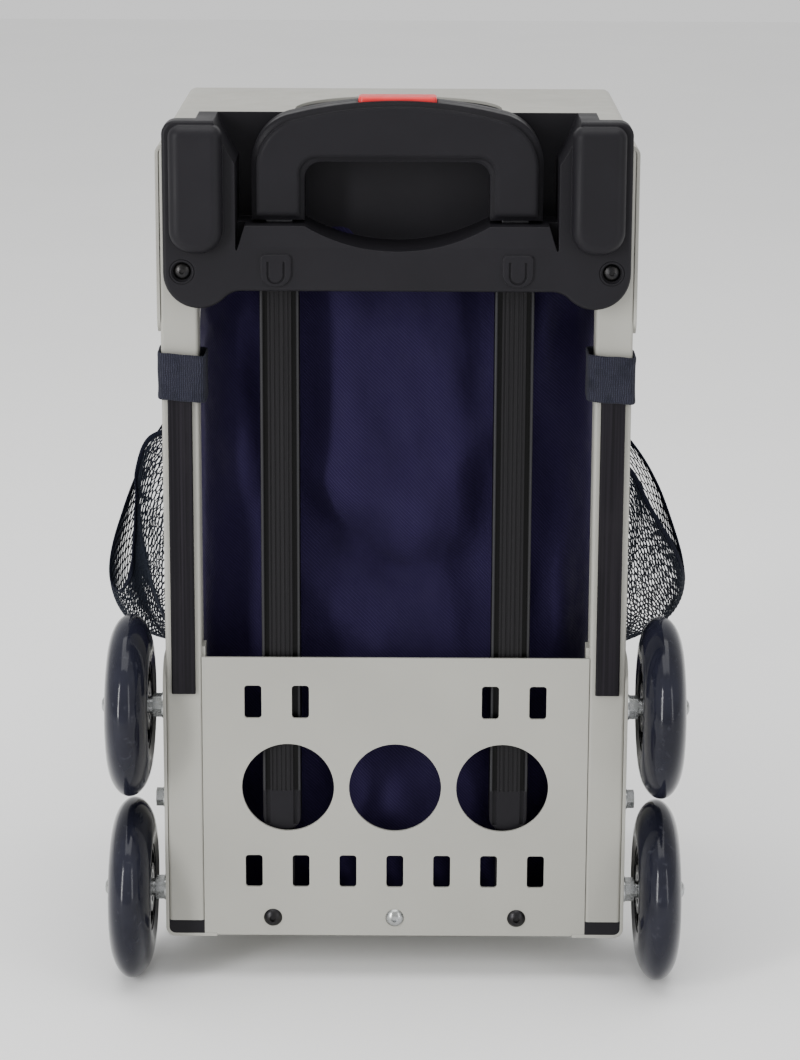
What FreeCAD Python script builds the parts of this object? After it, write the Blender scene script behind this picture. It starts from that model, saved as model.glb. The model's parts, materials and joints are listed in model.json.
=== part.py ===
"""Wheeled seat-frame shopping trolley: two bent-sheet frames on four square
posts, a telescopic pull handle in a moulded housing, stacked wheel pairs, a
fabric insert bag and two side mesh pockets.

Millimetres.  +X right, -Y towards the handle side, +Z up from the floor.
While it is modelled, Y = 0 is the handle-side face of the posts; every part is
moved by -Y_CENTRE when it is written, so the origin is the bottom centre.
"""
import FreeCAD, Part
import os
import math
from FreeCAD import Vector

os.makedirs("parts", exist_ok=True)

# ---- driving dimensions --------------------------------------------------
DEPTH = 272.0            # frame, handle side to front
SHEET = 2.0              # bent aluminium sheet
POST = 22.0              # square post
POST_WALL = 1.5
POST_OUT = 140.0         # outer face of the posts, from the middle
POST_IN = POST_OUT - POST
SHEET_OUT = POST_OUT + SHEET
SEAT_TOP = 525.0
SEAT_SKIRT = 411.0       # lower edge of the seat sheet's sides
BASE_LOW = 29.5          # underside of the base sheet
BASE_TOP = BASE_LOW + SHEET
CAP_TOP = 40.0           # post starts above its plastic end cap
BEND = 6.0               # outer bend radius of the sheets

GRAB_Y = 167.0           # round carry opening in the seat
GRAB_R = 66.0
BRIDGE = 33.0            # bar across the carry opening
NOTCH_Y = 33.0           # seat sheet stops here behind the handle housing

WHEEL_R = 56.0
WHEEL_W = 26.0
WHEEL_X = 163.0
WHEEL_Y = 15.0
WHEEL_LOW_Z = WHEEL_R
WHEEL_HIGH_Z = WHEEL_R + 119.5
CORE_R = 27.0            # hub core under the tyre
BEARING_R = 11.0
BEARING_W = 7.0
AXLE_R = 4.0
RUN = 0.05               # radial running clearance

PLATE_TOP = 211.0
PLATE_LOW = 30.7
PLATE_T = 2.0
HOLE_Z = 127.5
HOLE_R = 28.3
HOLE_X = 65.8
SLOT_W = 10.5
SLOT_H = 21.0
SLOT_PITCH = 29.0
SLOT_TOP_Z = 182.7
SLOT_LOW_Z = 72.8
SCREW_Z = 42.2
SCREW_X = 75.5

TUBE_X = 69.8            # telescopic tubes, from the middle
TUBE_Y = 13.0
OUTER_W = 23.4
OUTER_D = 17.0
OUTER_LOW = 124.0
OUTER_WALL = 3.0
OUTER_TOP = 470.0
MIDDLE_W = 16.6
MIDDLE_D = 10.6
INNER_W = 12.8
INNER_D = 6.8
INNER_TOP = 500.0
FOOT_LOW = 99.0
FOOT_TURN = 8.0          # round lower corners of the tube end plugs
CROSS_TOP = 54.0         # top of the tube behind the plate's lower edge

HOUSE_X = 137.0
HOUSE_REAR = -14.0
HOUSE_FRONT = 32.0
HOUSE_TOP = 540.0
HOUSE_LOW = 440.0
LOBE_LOW = 429.5
DECK_Z = 478.0
RECESS_X = 94.5
RECESS_Y = 29.0
LOBE_R = 21.0            # round lobes at the lower corners
LOBE_FILLET = 14.0       # hollow curve from a lobe to the lower edge
CROWN_R = 8.0
HOUSE_SCREW_X = 125.8
HOUSE_SCREW_Z = 451.5
SMILE_R = 113.0          # finger cut-out in the lip
SMILE_DEPTH = 14.0
PAD_REAR = -24.0
PAD_IN = 101.5
PAD_OUT = 132.8
PAD_LOW = 463.0

GRIP_LOW = 480.0
GRIP_TOP = 550.0
GRIP_OUT = 85.5
GRIP_IN = 54.5
GRIP_HAND_TOP = 514.5
GRIP_REAR = -1.0
GRIP_FRONT = 27.0
BUTTON_W = 46.0
BUTTON_LOW = 538.5
BAR_LOW = 531.0          # crossbar under the button
BAR_HIGH = 536.0
SPRING_LOW = 523.0       # return spring, from its seat up to the crossbar
ROD_R = 1.5
ROD_LOW = 146.0
GRIP_SCREW_X = 44.0
GRIP_SCREW_Z = 519.0

BAG_X = 115.0
BAG_REAR = 33.0
BAG_FRONT = 266.0
BAG_LOW = 33.0
BAG_TOP = 496.0
BAG_WALL = 3.0
FLAP_X = 104.0
FLAP_LOW = 56.0
FLAP_TOP = 474.0
FLAP_REAR = 266.5
FLAP_FRONT = 271.0
FLAP_LAP = 8.0           # the flap laps over the mouth of the bag by this much
POCKET_FRONT = 276.0
STRAP_LOW = 371.0        # webbing loops round the handle-side posts
STRAP_TOP = 400.5
STRAP_T = 2.0
NET_WALL = 2.0           # mesh pockets

GLIDE_IN = 121.7         # plastic rub strips on the handle-side posts
GLIDE_OUT = 136.3
GLIDE_T = 3.0
GLIDE_LOW = 188.5
GLIDE_TOP = 388.0
FOOT_X = 121.0           # rubber feet under the front corners
AXLE_NUT = 13.0          # across flats
SIDE_BOLT_NUT = 10.0
SIDE_BOLT_R = 3.0

Y_CENTRE = (POCKET_FRONT + WHEEL_Y - WHEEL_R) / 2.0
SIDES = (("left", -1.0), ("right", 1.0))
ALONG_X = Vector(1, 0, 0)
ALONG_Y = Vector(0, 1, 0)
UP = Vector(0, 0, 1)


# ---- helpers -------------------------------------------------------------
def save(name, shape):
    """Move a part to the common frame and write it as one STEP file."""
    moved = shape.copy()
    moved.translate(Vector(0.0, -Y_CENTRE, 0.0))
    if not moved.isValid():
        print("NOT VALID", name)
    moved.exportStep("parts/" + name + ".step")
    print("%-22s solids %2d  volume %10.1f" % (name, len(moved.Solids), moved.Volume))


def box(x0, x1, y0, y1, z0, z1):
    low = Vector(min(x0, x1), min(y0, y1), min(z0, z1))
    return Part.makeBox(abs(x1 - x0), abs(y1 - y0), abs(z1 - z0), low)


def edges_along(shape, direction):
    """Straight edges of a shape that run along one axis."""
    found = []
    for edge in shape.Edges:
        if edge.Curve.TypeId == "Part::GeomLine":
            if abs(edge.Curve.Direction.dot(direction)) > 0.999:
                found.append(edge)
    return found


def upright_box(cx, cy, width, depth, z0, z1):
    """Box about a vertical line."""
    return box(cx - width / 2, cx + width / 2, cy - depth / 2, cy + depth / 2, z0, z1)


def rounded_box(x0, x1, y0, y1, z0, z1, radius, axis):
    """Box whose four edges along the axis are rounded."""
    shape = box(x0, x1, y0, y1, z0, z1)
    return shape.makeFillet(radius, edges_along(shape, axis))


def soft_box(x0, x1, y0, y1, z0, z1, radius):
    """Box with every edge rounded."""
    shape = box(x0, x1, y0, y1, z0, z1)
    return shape.makeFillet(radius, shape.Edges)


def cylinder(radius, start, direction, length):
    return Part.makeCylinder(radius, length, start, direction)


def face_from(edges):
    return Part.Face(Part.Wire(Part.__sortEdges__(edges)))


def line(a, b):
    return Part.LineSegment(a, b).toShape()


def arc(a, middle, b):
    return Part.Arc(a, middle, b).toShape()


def polygon_xz(points, y):
    """Closed face in the XZ plane at depth y."""
    corners = [Vector(x, y, z) for x, z in points]
    return Part.Face(Part.makePolygon(corners + [corners[0]]))


def polygon_yz(points, x):
    corners = [Vector(x, y, z) for y, z in points]
    return Part.Face(Part.makePolygon(corners + [corners[0]]))


def hex_prism(across_flats, start, direction, length):
    """Hexagonal prism along +X or -X."""
    radius = across_flats / math.sqrt(3.0)
    points = []
    for step in range(6):
        angle = math.radians(60.0 * step)
        points.append(start + Vector(0, radius * math.cos(angle), radius * math.sin(angle)))
    face = Part.Face(Part.makePolygon(points + [points[0]]))
    return face.extrude(direction * length)


def rect_tube(cx, cy, width, depth, wall, z0, z1, radius):
    outer = upright_box(cx, cy, width, depth, z0, z1)
    outer = outer.makeFillet(radius, edges_along(outer, UP))
    inner = upright_box(cx, cy, width - 2 * wall, depth - 2 * wall, z0 - 1, z1 + 1)
    return outer.cut(inner)


def fuse_all(shapes):
    result = shapes[0]
    for shape in shapes[1:]:
        result = result.fuse(shape)
    return result.removeSplitter()


# ---- bent sheet frames ---------------------------------------------------
def drill_side(shape, side):
    """Holes for the two axles, and for the bolt between them."""
    middle = (WHEEL_LOW_Z + WHEEL_HIGH_Z) / 2
    for z, radius in ((WHEEL_LOW_Z, AXLE_R), (WHEEL_HIGH_Z, AXLE_R), (middle, SIDE_BOLT_R)):
        start = Vector(side * (POST_OUT - 4), WHEEL_Y, z)
        shape = shape.cut(cylinder(radius, start, Vector(side, 0, 0), 10))
    return shape


def bent_u(depth0, depth1, z0, z1, closed_top):
    """U section of sheet, open downwards (closed_top) or upwards."""
    outer = box(-SHEET_OUT, SHEET_OUT, depth0, depth1, z0, z1)
    inner = box(-POST_OUT, POST_OUT, depth0 - 1, depth1 + 1, z0 - 1, z1 - SHEET)
    corner_z = z1
    if not closed_top:
        inner = box(-POST_OUT, POST_OUT, depth0 - 1, depth1 + 1, z0 + SHEET, z1 + 1)
        corner_z = z0
    corners = []
    for edge in edges_along(outer, ALONG_Y):
        if abs(edge.CenterOfMass.z - corner_z) < 0.01:
            corners.append(edge)
    outer = outer.makeFillet(BEND, corners)
    inner_corners = []
    inner_z = z1 - SHEET if closed_top else z0 + SHEET
    for edge in edges_along(inner, ALONG_Y):
        if abs(edge.CenterOfMass.z - inner_z) < 0.01:
            inner_corners.append(edge)
    inner = inner.makeFillet(BEND - SHEET, inner_corners)
    return outer.cut(inner)


def seat_frame():
    """Seat: sheet folded down both sides, with a two-part round carry opening."""
    sheet = bent_u(0.0, DEPTH, SEAT_SKIRT, SEAT_TOP, True)
    sheet = sheet.cut(box(-POST_IN - 0.2, POST_IN + 0.2, -1, NOTCH_Y, SEAT_TOP - 20, SEAT_TOP + 1))
    hole = cylinder(GRAB_R, Vector(0, GRAB_Y, SEAT_TOP - 10), UP, 20)
    hole = hole.cut(upright_box(0, GRAB_Y, BRIDGE, 2 * GRAB_R + 2, SEAT_TOP - 11, SEAT_TOP + 11))
    sheet = sheet.cut(hole)
    low_corners = []
    for edge in edges_along(sheet, ALONG_X):
        if abs(edge.CenterOfMass.z - SEAT_SKIRT) < 0.01 and edge.Length < 2 * SHEET:
            low_corners.append(edge)
    return sheet.makeFillet(12.0, low_corners)


def seat_cup():
    """Moulded finger cup under the carry opening."""
    top = SEAT_TOP - SHEET
    outer = cylinder(GRAB_R + 7, Vector(0, GRAB_Y, top - 22), UP, 22)
    inner = cylinder(GRAB_R + 0.5, Vector(0, GRAB_Y, top - 20), UP, 30)
    return outer.cut(inner)


def base_side_profile(x0, x1):
    """Side wall of the base sheet: high behind, where the wheels bolt on."""
    high = WHEEL_HIGH_Z + 32.5
    low = 62.0
    a, b = Vector(x0, 0, BASE_LOW + 1), Vector(x0, 0, high - 18)
    c, d = Vector(x0, 18, high), Vector(x0, 44, high)
    bend = 18 * (1 - math.cos(math.radians(45)))
    e, f = Vector(x0, 62, high - 18), Vector(x0, 66, low + 26)
    g, h = Vector(x0, 92, low), Vector(x0, DEPTH, low)
    i = Vector(x0, DEPTH, BASE_LOW + 1)
    turn = 26 * (1 - math.cos(math.radians(45)))
    edges = [line(a, b), arc(b, Vector(x0, bend, high - bend), c), line(c, d),
             arc(d, Vector(x0, 62 - bend, high - bend), e), line(e, f),
             arc(f, Vector(x0, 66 + turn, low + turn), g), line(g, h), line(h, i), line(i, a)]
    return face_from(edges).extrude(Vector(x1 - x0, 0, 0))


def base_frame():
    """Base: sheet folded up both sides, with the axle brackets in one piece."""
    tall = bent_u(0.0, DEPTH, BASE_LOW, WHEEL_HIGH_Z + 60, False)
    keep = box(-POST_OUT + 8, POST_OUT - 8, 0, DEPTH, BASE_LOW, BASE_LOW + 12)
    for name, side in SIDES:
        x0 = side * (POST_OUT - 9)
        x1 = side * (SHEET_OUT + 0.5)
        keep = keep.fuse(base_side_profile(x0, x1))
        keep = keep.fuse(box(x0, x1, 0, DEPTH, BASE_LOW - 1, BASE_LOW + 12))
    sheet = tall.common(keep)
    sheet = sheet.cut(box(-110.2, 110.2, -1, PLATE_T + 0.1, BASE_LOW - 1, BASE_TOP + 1))
    for name, side in SIDES:
        sheet = drill_side(sheet, side)
    return sheet.removeSplitter()


def post(side, y0):
    """Square tube post; the two behind are drilled for the axles."""
    centre = side * (POST_OUT - POST / 2)
    tube = rect_tube(centre, y0 + POST / 2, POST, POST, POST_WALL, CAP_TOP, SEAT_TOP - SHEET, 2.0)
    if y0 < WHEEL_Y:
        tube = drill_side(tube, side)
    bend_x = POST_OUT - BEND + SHEET
    bend_z = SEAT_TOP - BEND
    corner = cylinder(BEND - SHEET, Vector(side * bend_x, y0 - 1, bend_z), ALONG_Y, POST + 2)
    block = box(side * bend_x, side * (POST_OUT + 1), y0 - 1, y0 + POST + 1, bend_z, SEAT_TOP)
    return tube.cut(block.cut(corner))


def post_caps():
    """Plastic plug in the lower end of each post."""
    caps = []
    bend_x = POST_OUT - BEND + SHEET
    bend_z = BASE_TOP + BEND - SHEET
    spigot_w = POST - 2 * (POST_WALL + 0.05)
    for name, side in SIDES:
        for y0 in (0.0, DEPTH - POST):
            head = box(side * POST_IN, side * POST_OUT, y0, y0 + POST, BASE_TOP, CAP_TOP)
            corner = cylinder(BEND - SHEET, Vector(side * bend_x, y0 - 1, bend_z), ALONG_Y, POST + 2)
            block = box(side * bend_x, side * (POST_OUT + 1), y0 - 1, y0 + POST + 1, BASE_TOP - 1, bend_z)
            head = head.cut(block.cut(corner))
            centre = side * (POST_OUT - POST / 2)
            spigot = upright_box(centre, y0 + POST / 2, spigot_w, spigot_w, CAP_TOP - 2, CAP_TOP + 5)
            caps.append(head.fuse(spigot).removeSplitter())
    return Part.makeCompound(caps)


def back_plate():
    """Perforated plate between the two posts, with side flanges."""
    half = POST_IN
    plate = box(-half, half, 0, PLATE_T, PLATE_LOW, PLATE_TOP)
    parts = [plate]
    for name, side in SIDES:
        parts.append(box(side * (half - PLATE_T), side * half, 0, 16, BASE_TOP + 0.1, PLATE_TOP))
        parts.append(box(side * (half - PLATE_T), side * half, PLATE_T + 1, 16, PLATE_TOP - 1, PLATE_TOP + 6))
    plate = fuse_all(parts)
    for name, side in SIDES:
        plate = plate.cut(box(side * 110, side * (half + 1), -1, 17, PLATE_LOW - 1, BASE_TOP + 0.1))
    for x in (-HOLE_X, 0.0, HOLE_X):
        plate = plate.cut(cylinder(HOLE_R, Vector(x, -1, HOLE_Z), ALONG_Y, PLATE_T + 2))
    slots = [(k, SLOT_LOW_Z) for k in range(-3, 4)]
    slots += [(k, SLOT_TOP_Z) for k in (-3, -2, 2, 3)]
    for k, z in slots:
        slot = upright_box(k * SLOT_PITCH, PLATE_T / 2, SLOT_W, PLATE_T + 2, z - SLOT_H / 2, z + SLOT_H / 2)
        plate = plate.cut(slot.makeFillet(2.0, edges_along(slot, ALONG_Y)))
    for x in (-SCREW_X, 0.0, SCREW_X):
        plate = plate.cut(cylinder(3.0, Vector(x, -1, SCREW_Z), ALONG_Y, PLATE_T + 2))
    return plate


def rear_crossmember():
    """Square tube behind the lower edge of the plate, threaded for its screws."""
    tube = box(-108, 108, PLATE_T + 0.1, 20, BASE_TOP + 0.1, CROSS_TOP)
    tube = tube.cut(box(-109, 109, PLATE_T + 2.1, 18, BASE_TOP + 2.1, CROSS_TOP - 2))
    for x in (-SCREW_X, 0.0, SCREW_X):
        tube = tube.cut(cylinder(3.0, Vector(x, 0, SCREW_Z), ALONG_Y, 8))
    return tube


def domed_head(centre, direction, radius, height):
    """Head that is flat below and part of a ball above, turned about its axis."""
    ball_r = (radius * radius + height * height) / (2.0 * height)
    ball = centre - direction * (ball_r - height)
    up = UP
    rim = centre + up * radius
    crown = centre + direction * height
    half_way = math.asin(radius / ball_r) / 2.0
    if height > ball_r:
        half_way = (math.pi - math.asin(radius / ball_r)) / 2.0
    middle = ball + direction * (ball_r * math.cos(half_way)) + up * (ball_r * math.sin(half_way))
    profile = face_from([line(centre, rim), arc(rim, middle, crown), line(crown, centre)])
    return profile.revolve(centre, direction, 360)


def ring(outer_r, inner_r, start, direction, length):
    """Plain ring with its axis along the direction."""
    return cylinder(outer_r, start, direction, length).cut(cylinder(inner_r, start, direction, length))


def pan_screw(centre, direction, shaft_r, head_r, head_h, length, socket_r):
    """Domed-head screw; the centre is where the head rests."""
    head = domed_head(centre, direction, head_r, head_h)
    shaft = cylinder(shaft_r, centre - direction * length, direction, length)
    socket = cylinder(socket_r, centre + direction * (head_h * 0.35), direction, head_h)
    return head.fuse(shaft).cut(socket).removeSplitter()


def plate_screws(xs):
    out = Vector(0, -1, 0)
    screws = [pan_screw(Vector(x, 0, SCREW_Z), out, 3.0, 5.7, 3.0, 7.5, 2.0) for x in xs]
    return Part.makeCompound(screws)


def glide_strip(side):
    """Plastic rub strip on the handle side of a post."""
    return rounded_box(side * GLIDE_IN, side * GLIDE_OUT, -GLIDE_T, 0.0, GLIDE_LOW, GLIDE_TOP, 1.2, UP)


def front_foot(side):
    """Short rubber foot under the front corner of the base."""
    cone = Part.makeCone(13.0, 17.0, BASE_LOW, Vector(side * FOOT_X, DEPTH - POST, 0.0), UP)
    circles = [edge for edge in cone.Edges if edge.Curve.TypeId == "Part::GeomCircle"]
    return cone.makeFillet(1.5, [edge for edge in circles if edge.CenterOfMass.z < 0.01])


# ---- wheels --------------------------------------------------------------
def spin(face, centre):
    return face.revolve(centre, ALONG_X, 360)


def tyre(centre):
    """Urethane tyre with a full elliptical section."""
    half = WHEEL_W / 2
    shoulder = 34.0
    pts = [(-half + 1.5, CORE_R), (-half, shoulder)]
    steps = 8
    for k in range(1, steps * 2):
        angle = math.pi - math.pi * k / (steps * 2)
        pts.append((half * math.cos(angle), shoulder + (WHEEL_R - shoulder) * math.sin(angle)))
    pts += [(half, shoulder), (half - 1.5, CORE_R)]
    vectors = [Vector(centre.x + x, centre.y, centre.z + r) for x, r in pts]
    curve = Part.BSplineCurve()
    curve.interpolate(vectors[1:-1])
    edges = [line(vectors[0], vectors[1]), curve.toShape()]
    edges += [line(vectors[-2], vectors[-1]), line(vectors[-1], vectors[0])]
    return spin(face_from(edges), centre)


def hub(centre):
    """Moulded core: rim, web with five windows, and bearing boss."""
    half = [(11.0, CORE_R), (11.0, 23.5), (4.0, 22.5), (4.0, 17.0), (11.5, 15.0), (11.5, BEARING_R),
            (4.5, BEARING_R), (4.5, 8.0)]
    outline = half + [(-x, r) for x, r in reversed(half)]
    vectors = [Vector(centre.x + x, centre.y, centre.z + r) for x, r in outline]
    core = spin(Part.Face(Part.makePolygon(vectors + [vectors[0]])), centre)
    for k in range(5):
        angle = 2 * math.pi * k / 5
        at = centre + Vector(-12, 19.7 * math.cos(angle), 19.7 * math.sin(angle))
        core = core.cut(cylinder(2.4, at, ALONG_X, 24))
    return core


def bearings(centre):
    """Two sealed ball bearings, each a ring with shields set in."""
    rings = []
    for side in (-1, 1):
        x0 = centre.x + side * 4.5
        x1 = centre.x + side * (4.5 + BEARING_W)
        low = min(x0, x1)
        race = ring(BEARING_R, AXLE_R + RUN, Vector(low, centre.y, centre.z), ALONG_X, BEARING_W)
        shield = ring(9.4, 6.0, Vector(x1 - side * 0.6, centre.y, centre.z), Vector(side, 0, 0), 2)
        rings.append(race.cut(shield))
    return Part.makeCompound(rings)


def axle(centre, side):
    """Axle bolt with its domed head outside, spacer, lock nut and washer."""
    out = Vector(side, 0, 0)

    def at(x):
        return Vector(side * x, centre.y, centre.z)

    hub_end = WHEEL_X + 12.0
    bolt = cylinder(AXLE_R, at(POST_OUT - 3), out, hub_end - POST_OUT + 3)
    head = domed_head(at(hub_end), out, 7.3, 6.2)
    socket = hex_prism(5.0, at(hub_end + 3.2), out, 5)
    bolt = bolt.fuse(head.cut(socket)).removeSplitter()
    washer = ring(8.0, AXLE_R, at(SHEET_OUT), out, 1.6)
    nut_x = SHEET_OUT + 1.6
    nut = hex_prism(AXLE_NUT, at(nut_x), out, 5.6).cut(cylinder(AXLE_R, at(nut_x), out, 5.6))
    spacer = ring(5.4, AXLE_R, at(nut_x + 5.6), out, WHEEL_X - 11.7 - nut_x - 5.6)
    return Part.makeCompound([bolt, washer, nut, spacer])


def side_bolts():
    """Hex bolt with washer between the wheels, one on each side."""
    z = (WHEEL_LOW_Z + WHEEL_HIGH_Z) / 2
    bolts = []
    for name, side in SIDES:
        out = Vector(side, 0, 0)
        shaft = cylinder(SIDE_BOLT_R, Vector(side * (POST_OUT - 3), WHEEL_Y, z), out, 8)
        washer = cylinder(6.2, Vector(side * SHEET_OUT, WHEEL_Y, z), out, 1.5)
        head = hex_prism(SIDE_BOLT_NUT, Vector(side * (SHEET_OUT + 1.5), WHEEL_Y, z), out, 4.4)
        bolts.append(fuse_all([shaft, washer, head]))
    return Part.makeCompound(bolts)


# ---- handle housing ------------------------------------------------------
def housing_outline(y):
    """Face of the housing as seen from the handle side, with two round lobes."""
    edges = []
    lobe_z = LOBE_LOW + LOBE_R
    fillet_z = HOUSE_LOW - LOBE_FILLET
    reach = LOBE_R + LOBE_FILLET
    across = math.sqrt(reach * reach - (lobe_z - fillet_z) ** 2)
    lobe_x = HOUSE_X - LOBE_R
    fillet_x = lobe_x - across
    share = LOBE_R / reach
    slope = math.atan2(lobe_z - fillet_z, across)
    for side in (-1.0, 1.0):

        def at(x, z):
            return Vector(side * x, y, z)

        touch = at(lobe_x - across * share, lobe_z - (lobe_z - fillet_z) * share)
        upright = at(HOUSE_X, lobe_z)
        lean = math.radians(20)
        low = at(lobe_x + LOBE_R * math.sin(lean), lobe_z - LOBE_R * math.cos(lean))
        waist = at(fillet_x, HOUSE_LOW)
        half_turn = (slope + math.pi / 2) / 2
        hollow = at(fillet_x + LOBE_FILLET * math.cos(half_turn), fillet_z + LOBE_FILLET * math.sin(half_turn))
        top = at(HOUSE_X, HOUSE_TOP - CROWN_R)
        crown = at(HOUSE_X - CROWN_R, HOUSE_TOP)
        turn = CROWN_R * (1 - math.cos(math.radians(45)))
        corner = at(HOUSE_X - turn, HOUSE_TOP - turn)
        edges += [line(top, upright), arc(upright, low, touch)]
        edges += [arc(touch, hollow, waist), arc(top, corner, crown)]
    edges.append(line(Vector(-fillet_x, y, HOUSE_LOW), Vector(fillet_x, y, HOUSE_LOW)))
    edges.append(line(Vector(-HOUSE_X + CROWN_R, y, HOUSE_TOP), Vector(HOUSE_X - CROWN_R, y, HOUSE_TOP)))
    return face_from(edges)


def side_pad(side):
    """Raised soft pad on each side of the recess, round at its lower end."""
    pad = box(side * PAD_IN, side * PAD_OUT, PAD_REAR, HOUSE_REAR + 2, PAD_LOW, HOUSE_TOP - 2)
    across = edges_along(pad, ALONG_Y)
    low = [edge for edge in across if edge.CenterOfMass.z < PAD_LOW + 1]
    pad = pad.makeFillet(14.0, low)
    high = [edge for edge in edges_along(pad, ALONG_Y) if edge.CenterOfMass.z > HOUSE_TOP - 3]
    pad = pad.makeFillet(7.0, high)
    rim = [edge for edge in pad.Edges if abs(edge.BoundBox.YMax - PAD_REAR) < 0.01]
    return pad.makeFillet(6.5, rim)


def shield_boss(side):
    """Shield-shaped boss over each tube, with a round groove cut in its face."""
    x = side * (TUBE_X + 1)
    boss = box(x - 9.2, x + 9.2, HOUSE_REAR - 1.6, HOUSE_REAR + 2, 443.0, 462.0)
    across = edges_along(boss, ALONG_Y)
    boss = boss.makeFillet(8.4, [edge for edge in across if edge.CenterOfMass.z < 444])
    across = edges_along(boss, ALONG_Y)
    boss = boss.makeFillet(2.5, [edge for edge in across if edge.CenterOfMass.z > 461])
    rim = [edge for edge in boss.Edges if abs(edge.BoundBox.YMax - HOUSE_REAR + 1.6) < 0.01]
    boss = boss.makeFillet(0.9, rim)
    groove = ring(5.4, 4.0, Vector(x, HOUSE_REAR - 3, 450.0), ALONG_Y, 2.4)
    groove = groove.cut(box(x - 6, x + 6, HOUSE_REAR - 4, HOUSE_REAR, 450.0, 456.0))
    for edge in (-1, 1):
        leg_x = x + edge * 4.7
        groove = groove.fuse(box(leg_x - 0.7, leg_x + 0.7, HOUSE_REAR - 3, HOUSE_REAR - 0.6, 450.0, 458.0))
    return boss.cut(groove)


def handle_housing():
    """Moulded housing: face, deep middle with the grip recess, side pads and bosses."""
    face_back = -0.3
    body = housing_outline(HOUSE_REAR).extrude(Vector(0, face_back - HOUSE_REAR, 0))
    rim = [edge for edge in body.Edges if abs(edge.BoundBox.YMax - HOUSE_REAR) < 0.01]
    body = body.makeFillet(2.2, rim)
    middle = box(-POST_IN + 0.3, POST_IN - 0.3, face_back - 1, HOUSE_FRONT, HOUSE_LOW, HOUSE_TOP)
    top = [edge for edge in edges_along(middle, ALONG_X) if edge.CenterOfMass.z > DECK_Z]
    body = body.fuse(middle.makeFillet(1.8, [edge for edge in top if edge.CenterOfMass.y > 0]))
    body = body.cut(box(-RECESS_X, RECESS_X, HOUSE_REAR - 5, RECESS_Y, DECK_Z, HOUSE_TOP + 5))
    smile_centre = Vector(0, HOUSE_REAR - 5, DECK_Z - SMILE_DEPTH + SMILE_R)
    body = body.cut(cylinder(SMILE_R, smile_centre, ALONG_Y, RECESS_Y - HOUSE_REAR + 5))
    face_y = HOUSE_REAR - 1
    slope = [(face_y, DECK_Z - SMILE_DEPTH), (face_y, DECK_Z + 1), (face_y + 7, DECK_Z + 1)]
    bevel = polygon_yz(slope, -RECESS_X)
    body = body.cut(bevel.extrude(Vector(2 * RECESS_X, 0, 0)))
    for name, side in SIDES:
        notch = polygon_xz([(side * RECESS_X, DECK_Z + 1), (side * (RECESS_X - 5.5), DECK_Z + 1),
                            (side * (RECESS_X - 1), DECK_Z - SMILE_DEPTH),
                            (side * RECESS_X, DECK_Z - SMILE_DEPTH + 1)], HOUSE_REAR - 1)
        body = body.cut(notch.extrude(Vector(0, 24, 0)))
        body = body.fuse(side_pad(side)).fuse(shield_boss(side))
        x = side * TUBE_X
        body = body.cut(upright_box(x, TUBE_Y, OUTER_W + 0.2, OUTER_D + 0.2, HOUSE_LOW - 5, OUTER_TOP + 0.1))
        body = body.cut(upright_box(x, TUBE_Y, MIDDLE_W + 0.8, MIDDLE_D + 0.8, OUTER_TOP - 5, DECK_Z + 5))
        at = Vector(side * HOUSE_SCREW_X, HOUSE_REAR - 1, HOUSE_SCREW_Z)
        body = body.cut(cylinder(6.2, at, ALONG_Y, 3.5))
        body = body.cut(ring(7.6, 7.0, at, ALONG_Y, 1.5))
        body = body.cut(cylinder(2.5, at, ALONG_Y, 14))
    return body.removeSplitter()


def housing_screws():
    screws = []
    for name, side in SIDES:
        at = Vector(side * HOUSE_SCREW_X, HOUSE_REAR + 2.5, HOUSE_SCREW_Z)
        screws.append(pan_screw(at, Vector(0, -1, 0), 2.5, 5.2, 2.3, 9.5, 1.6))
    return Part.makeCompound(screws)


# ---- telescopic tubes ----------------------------------------------------
def cut_grooves(shape, x, z0, z1, ribbed):
    """Cut the long grooves, and the fine ribs, in both faces of a tube."""
    for face in (-1, 1):
        surface = TUBE_Y + face * OUTER_D / 2
        for edge in (-1, 1):
            cx = x + edge * 8.4
            shape = shape.cut(box(cx - 1.3, cx + 1.3, surface - face * 1.4, surface + face, z0, z1))
        if ribbed:
            for k in range(-2, 3):
                cx = x + k * 2.7
                shape = shape.cut(box(cx - 0.45, cx + 0.45, surface - face * 0.5, surface + face, z0, z1))
    return shape


def outer_tube(side):
    """Fixed extrusion with flanges, grooves and a ribbed middle on both faces."""
    x = side * TUBE_X
    tube = rect_tube(x, TUBE_Y, OUTER_W, OUTER_D, OUTER_WALL, OUTER_LOW, OUTER_TOP, 1.0)
    return cut_grooves(tube, x, OUTER_LOW - 1, OUTER_TOP + 1, True)


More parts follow.
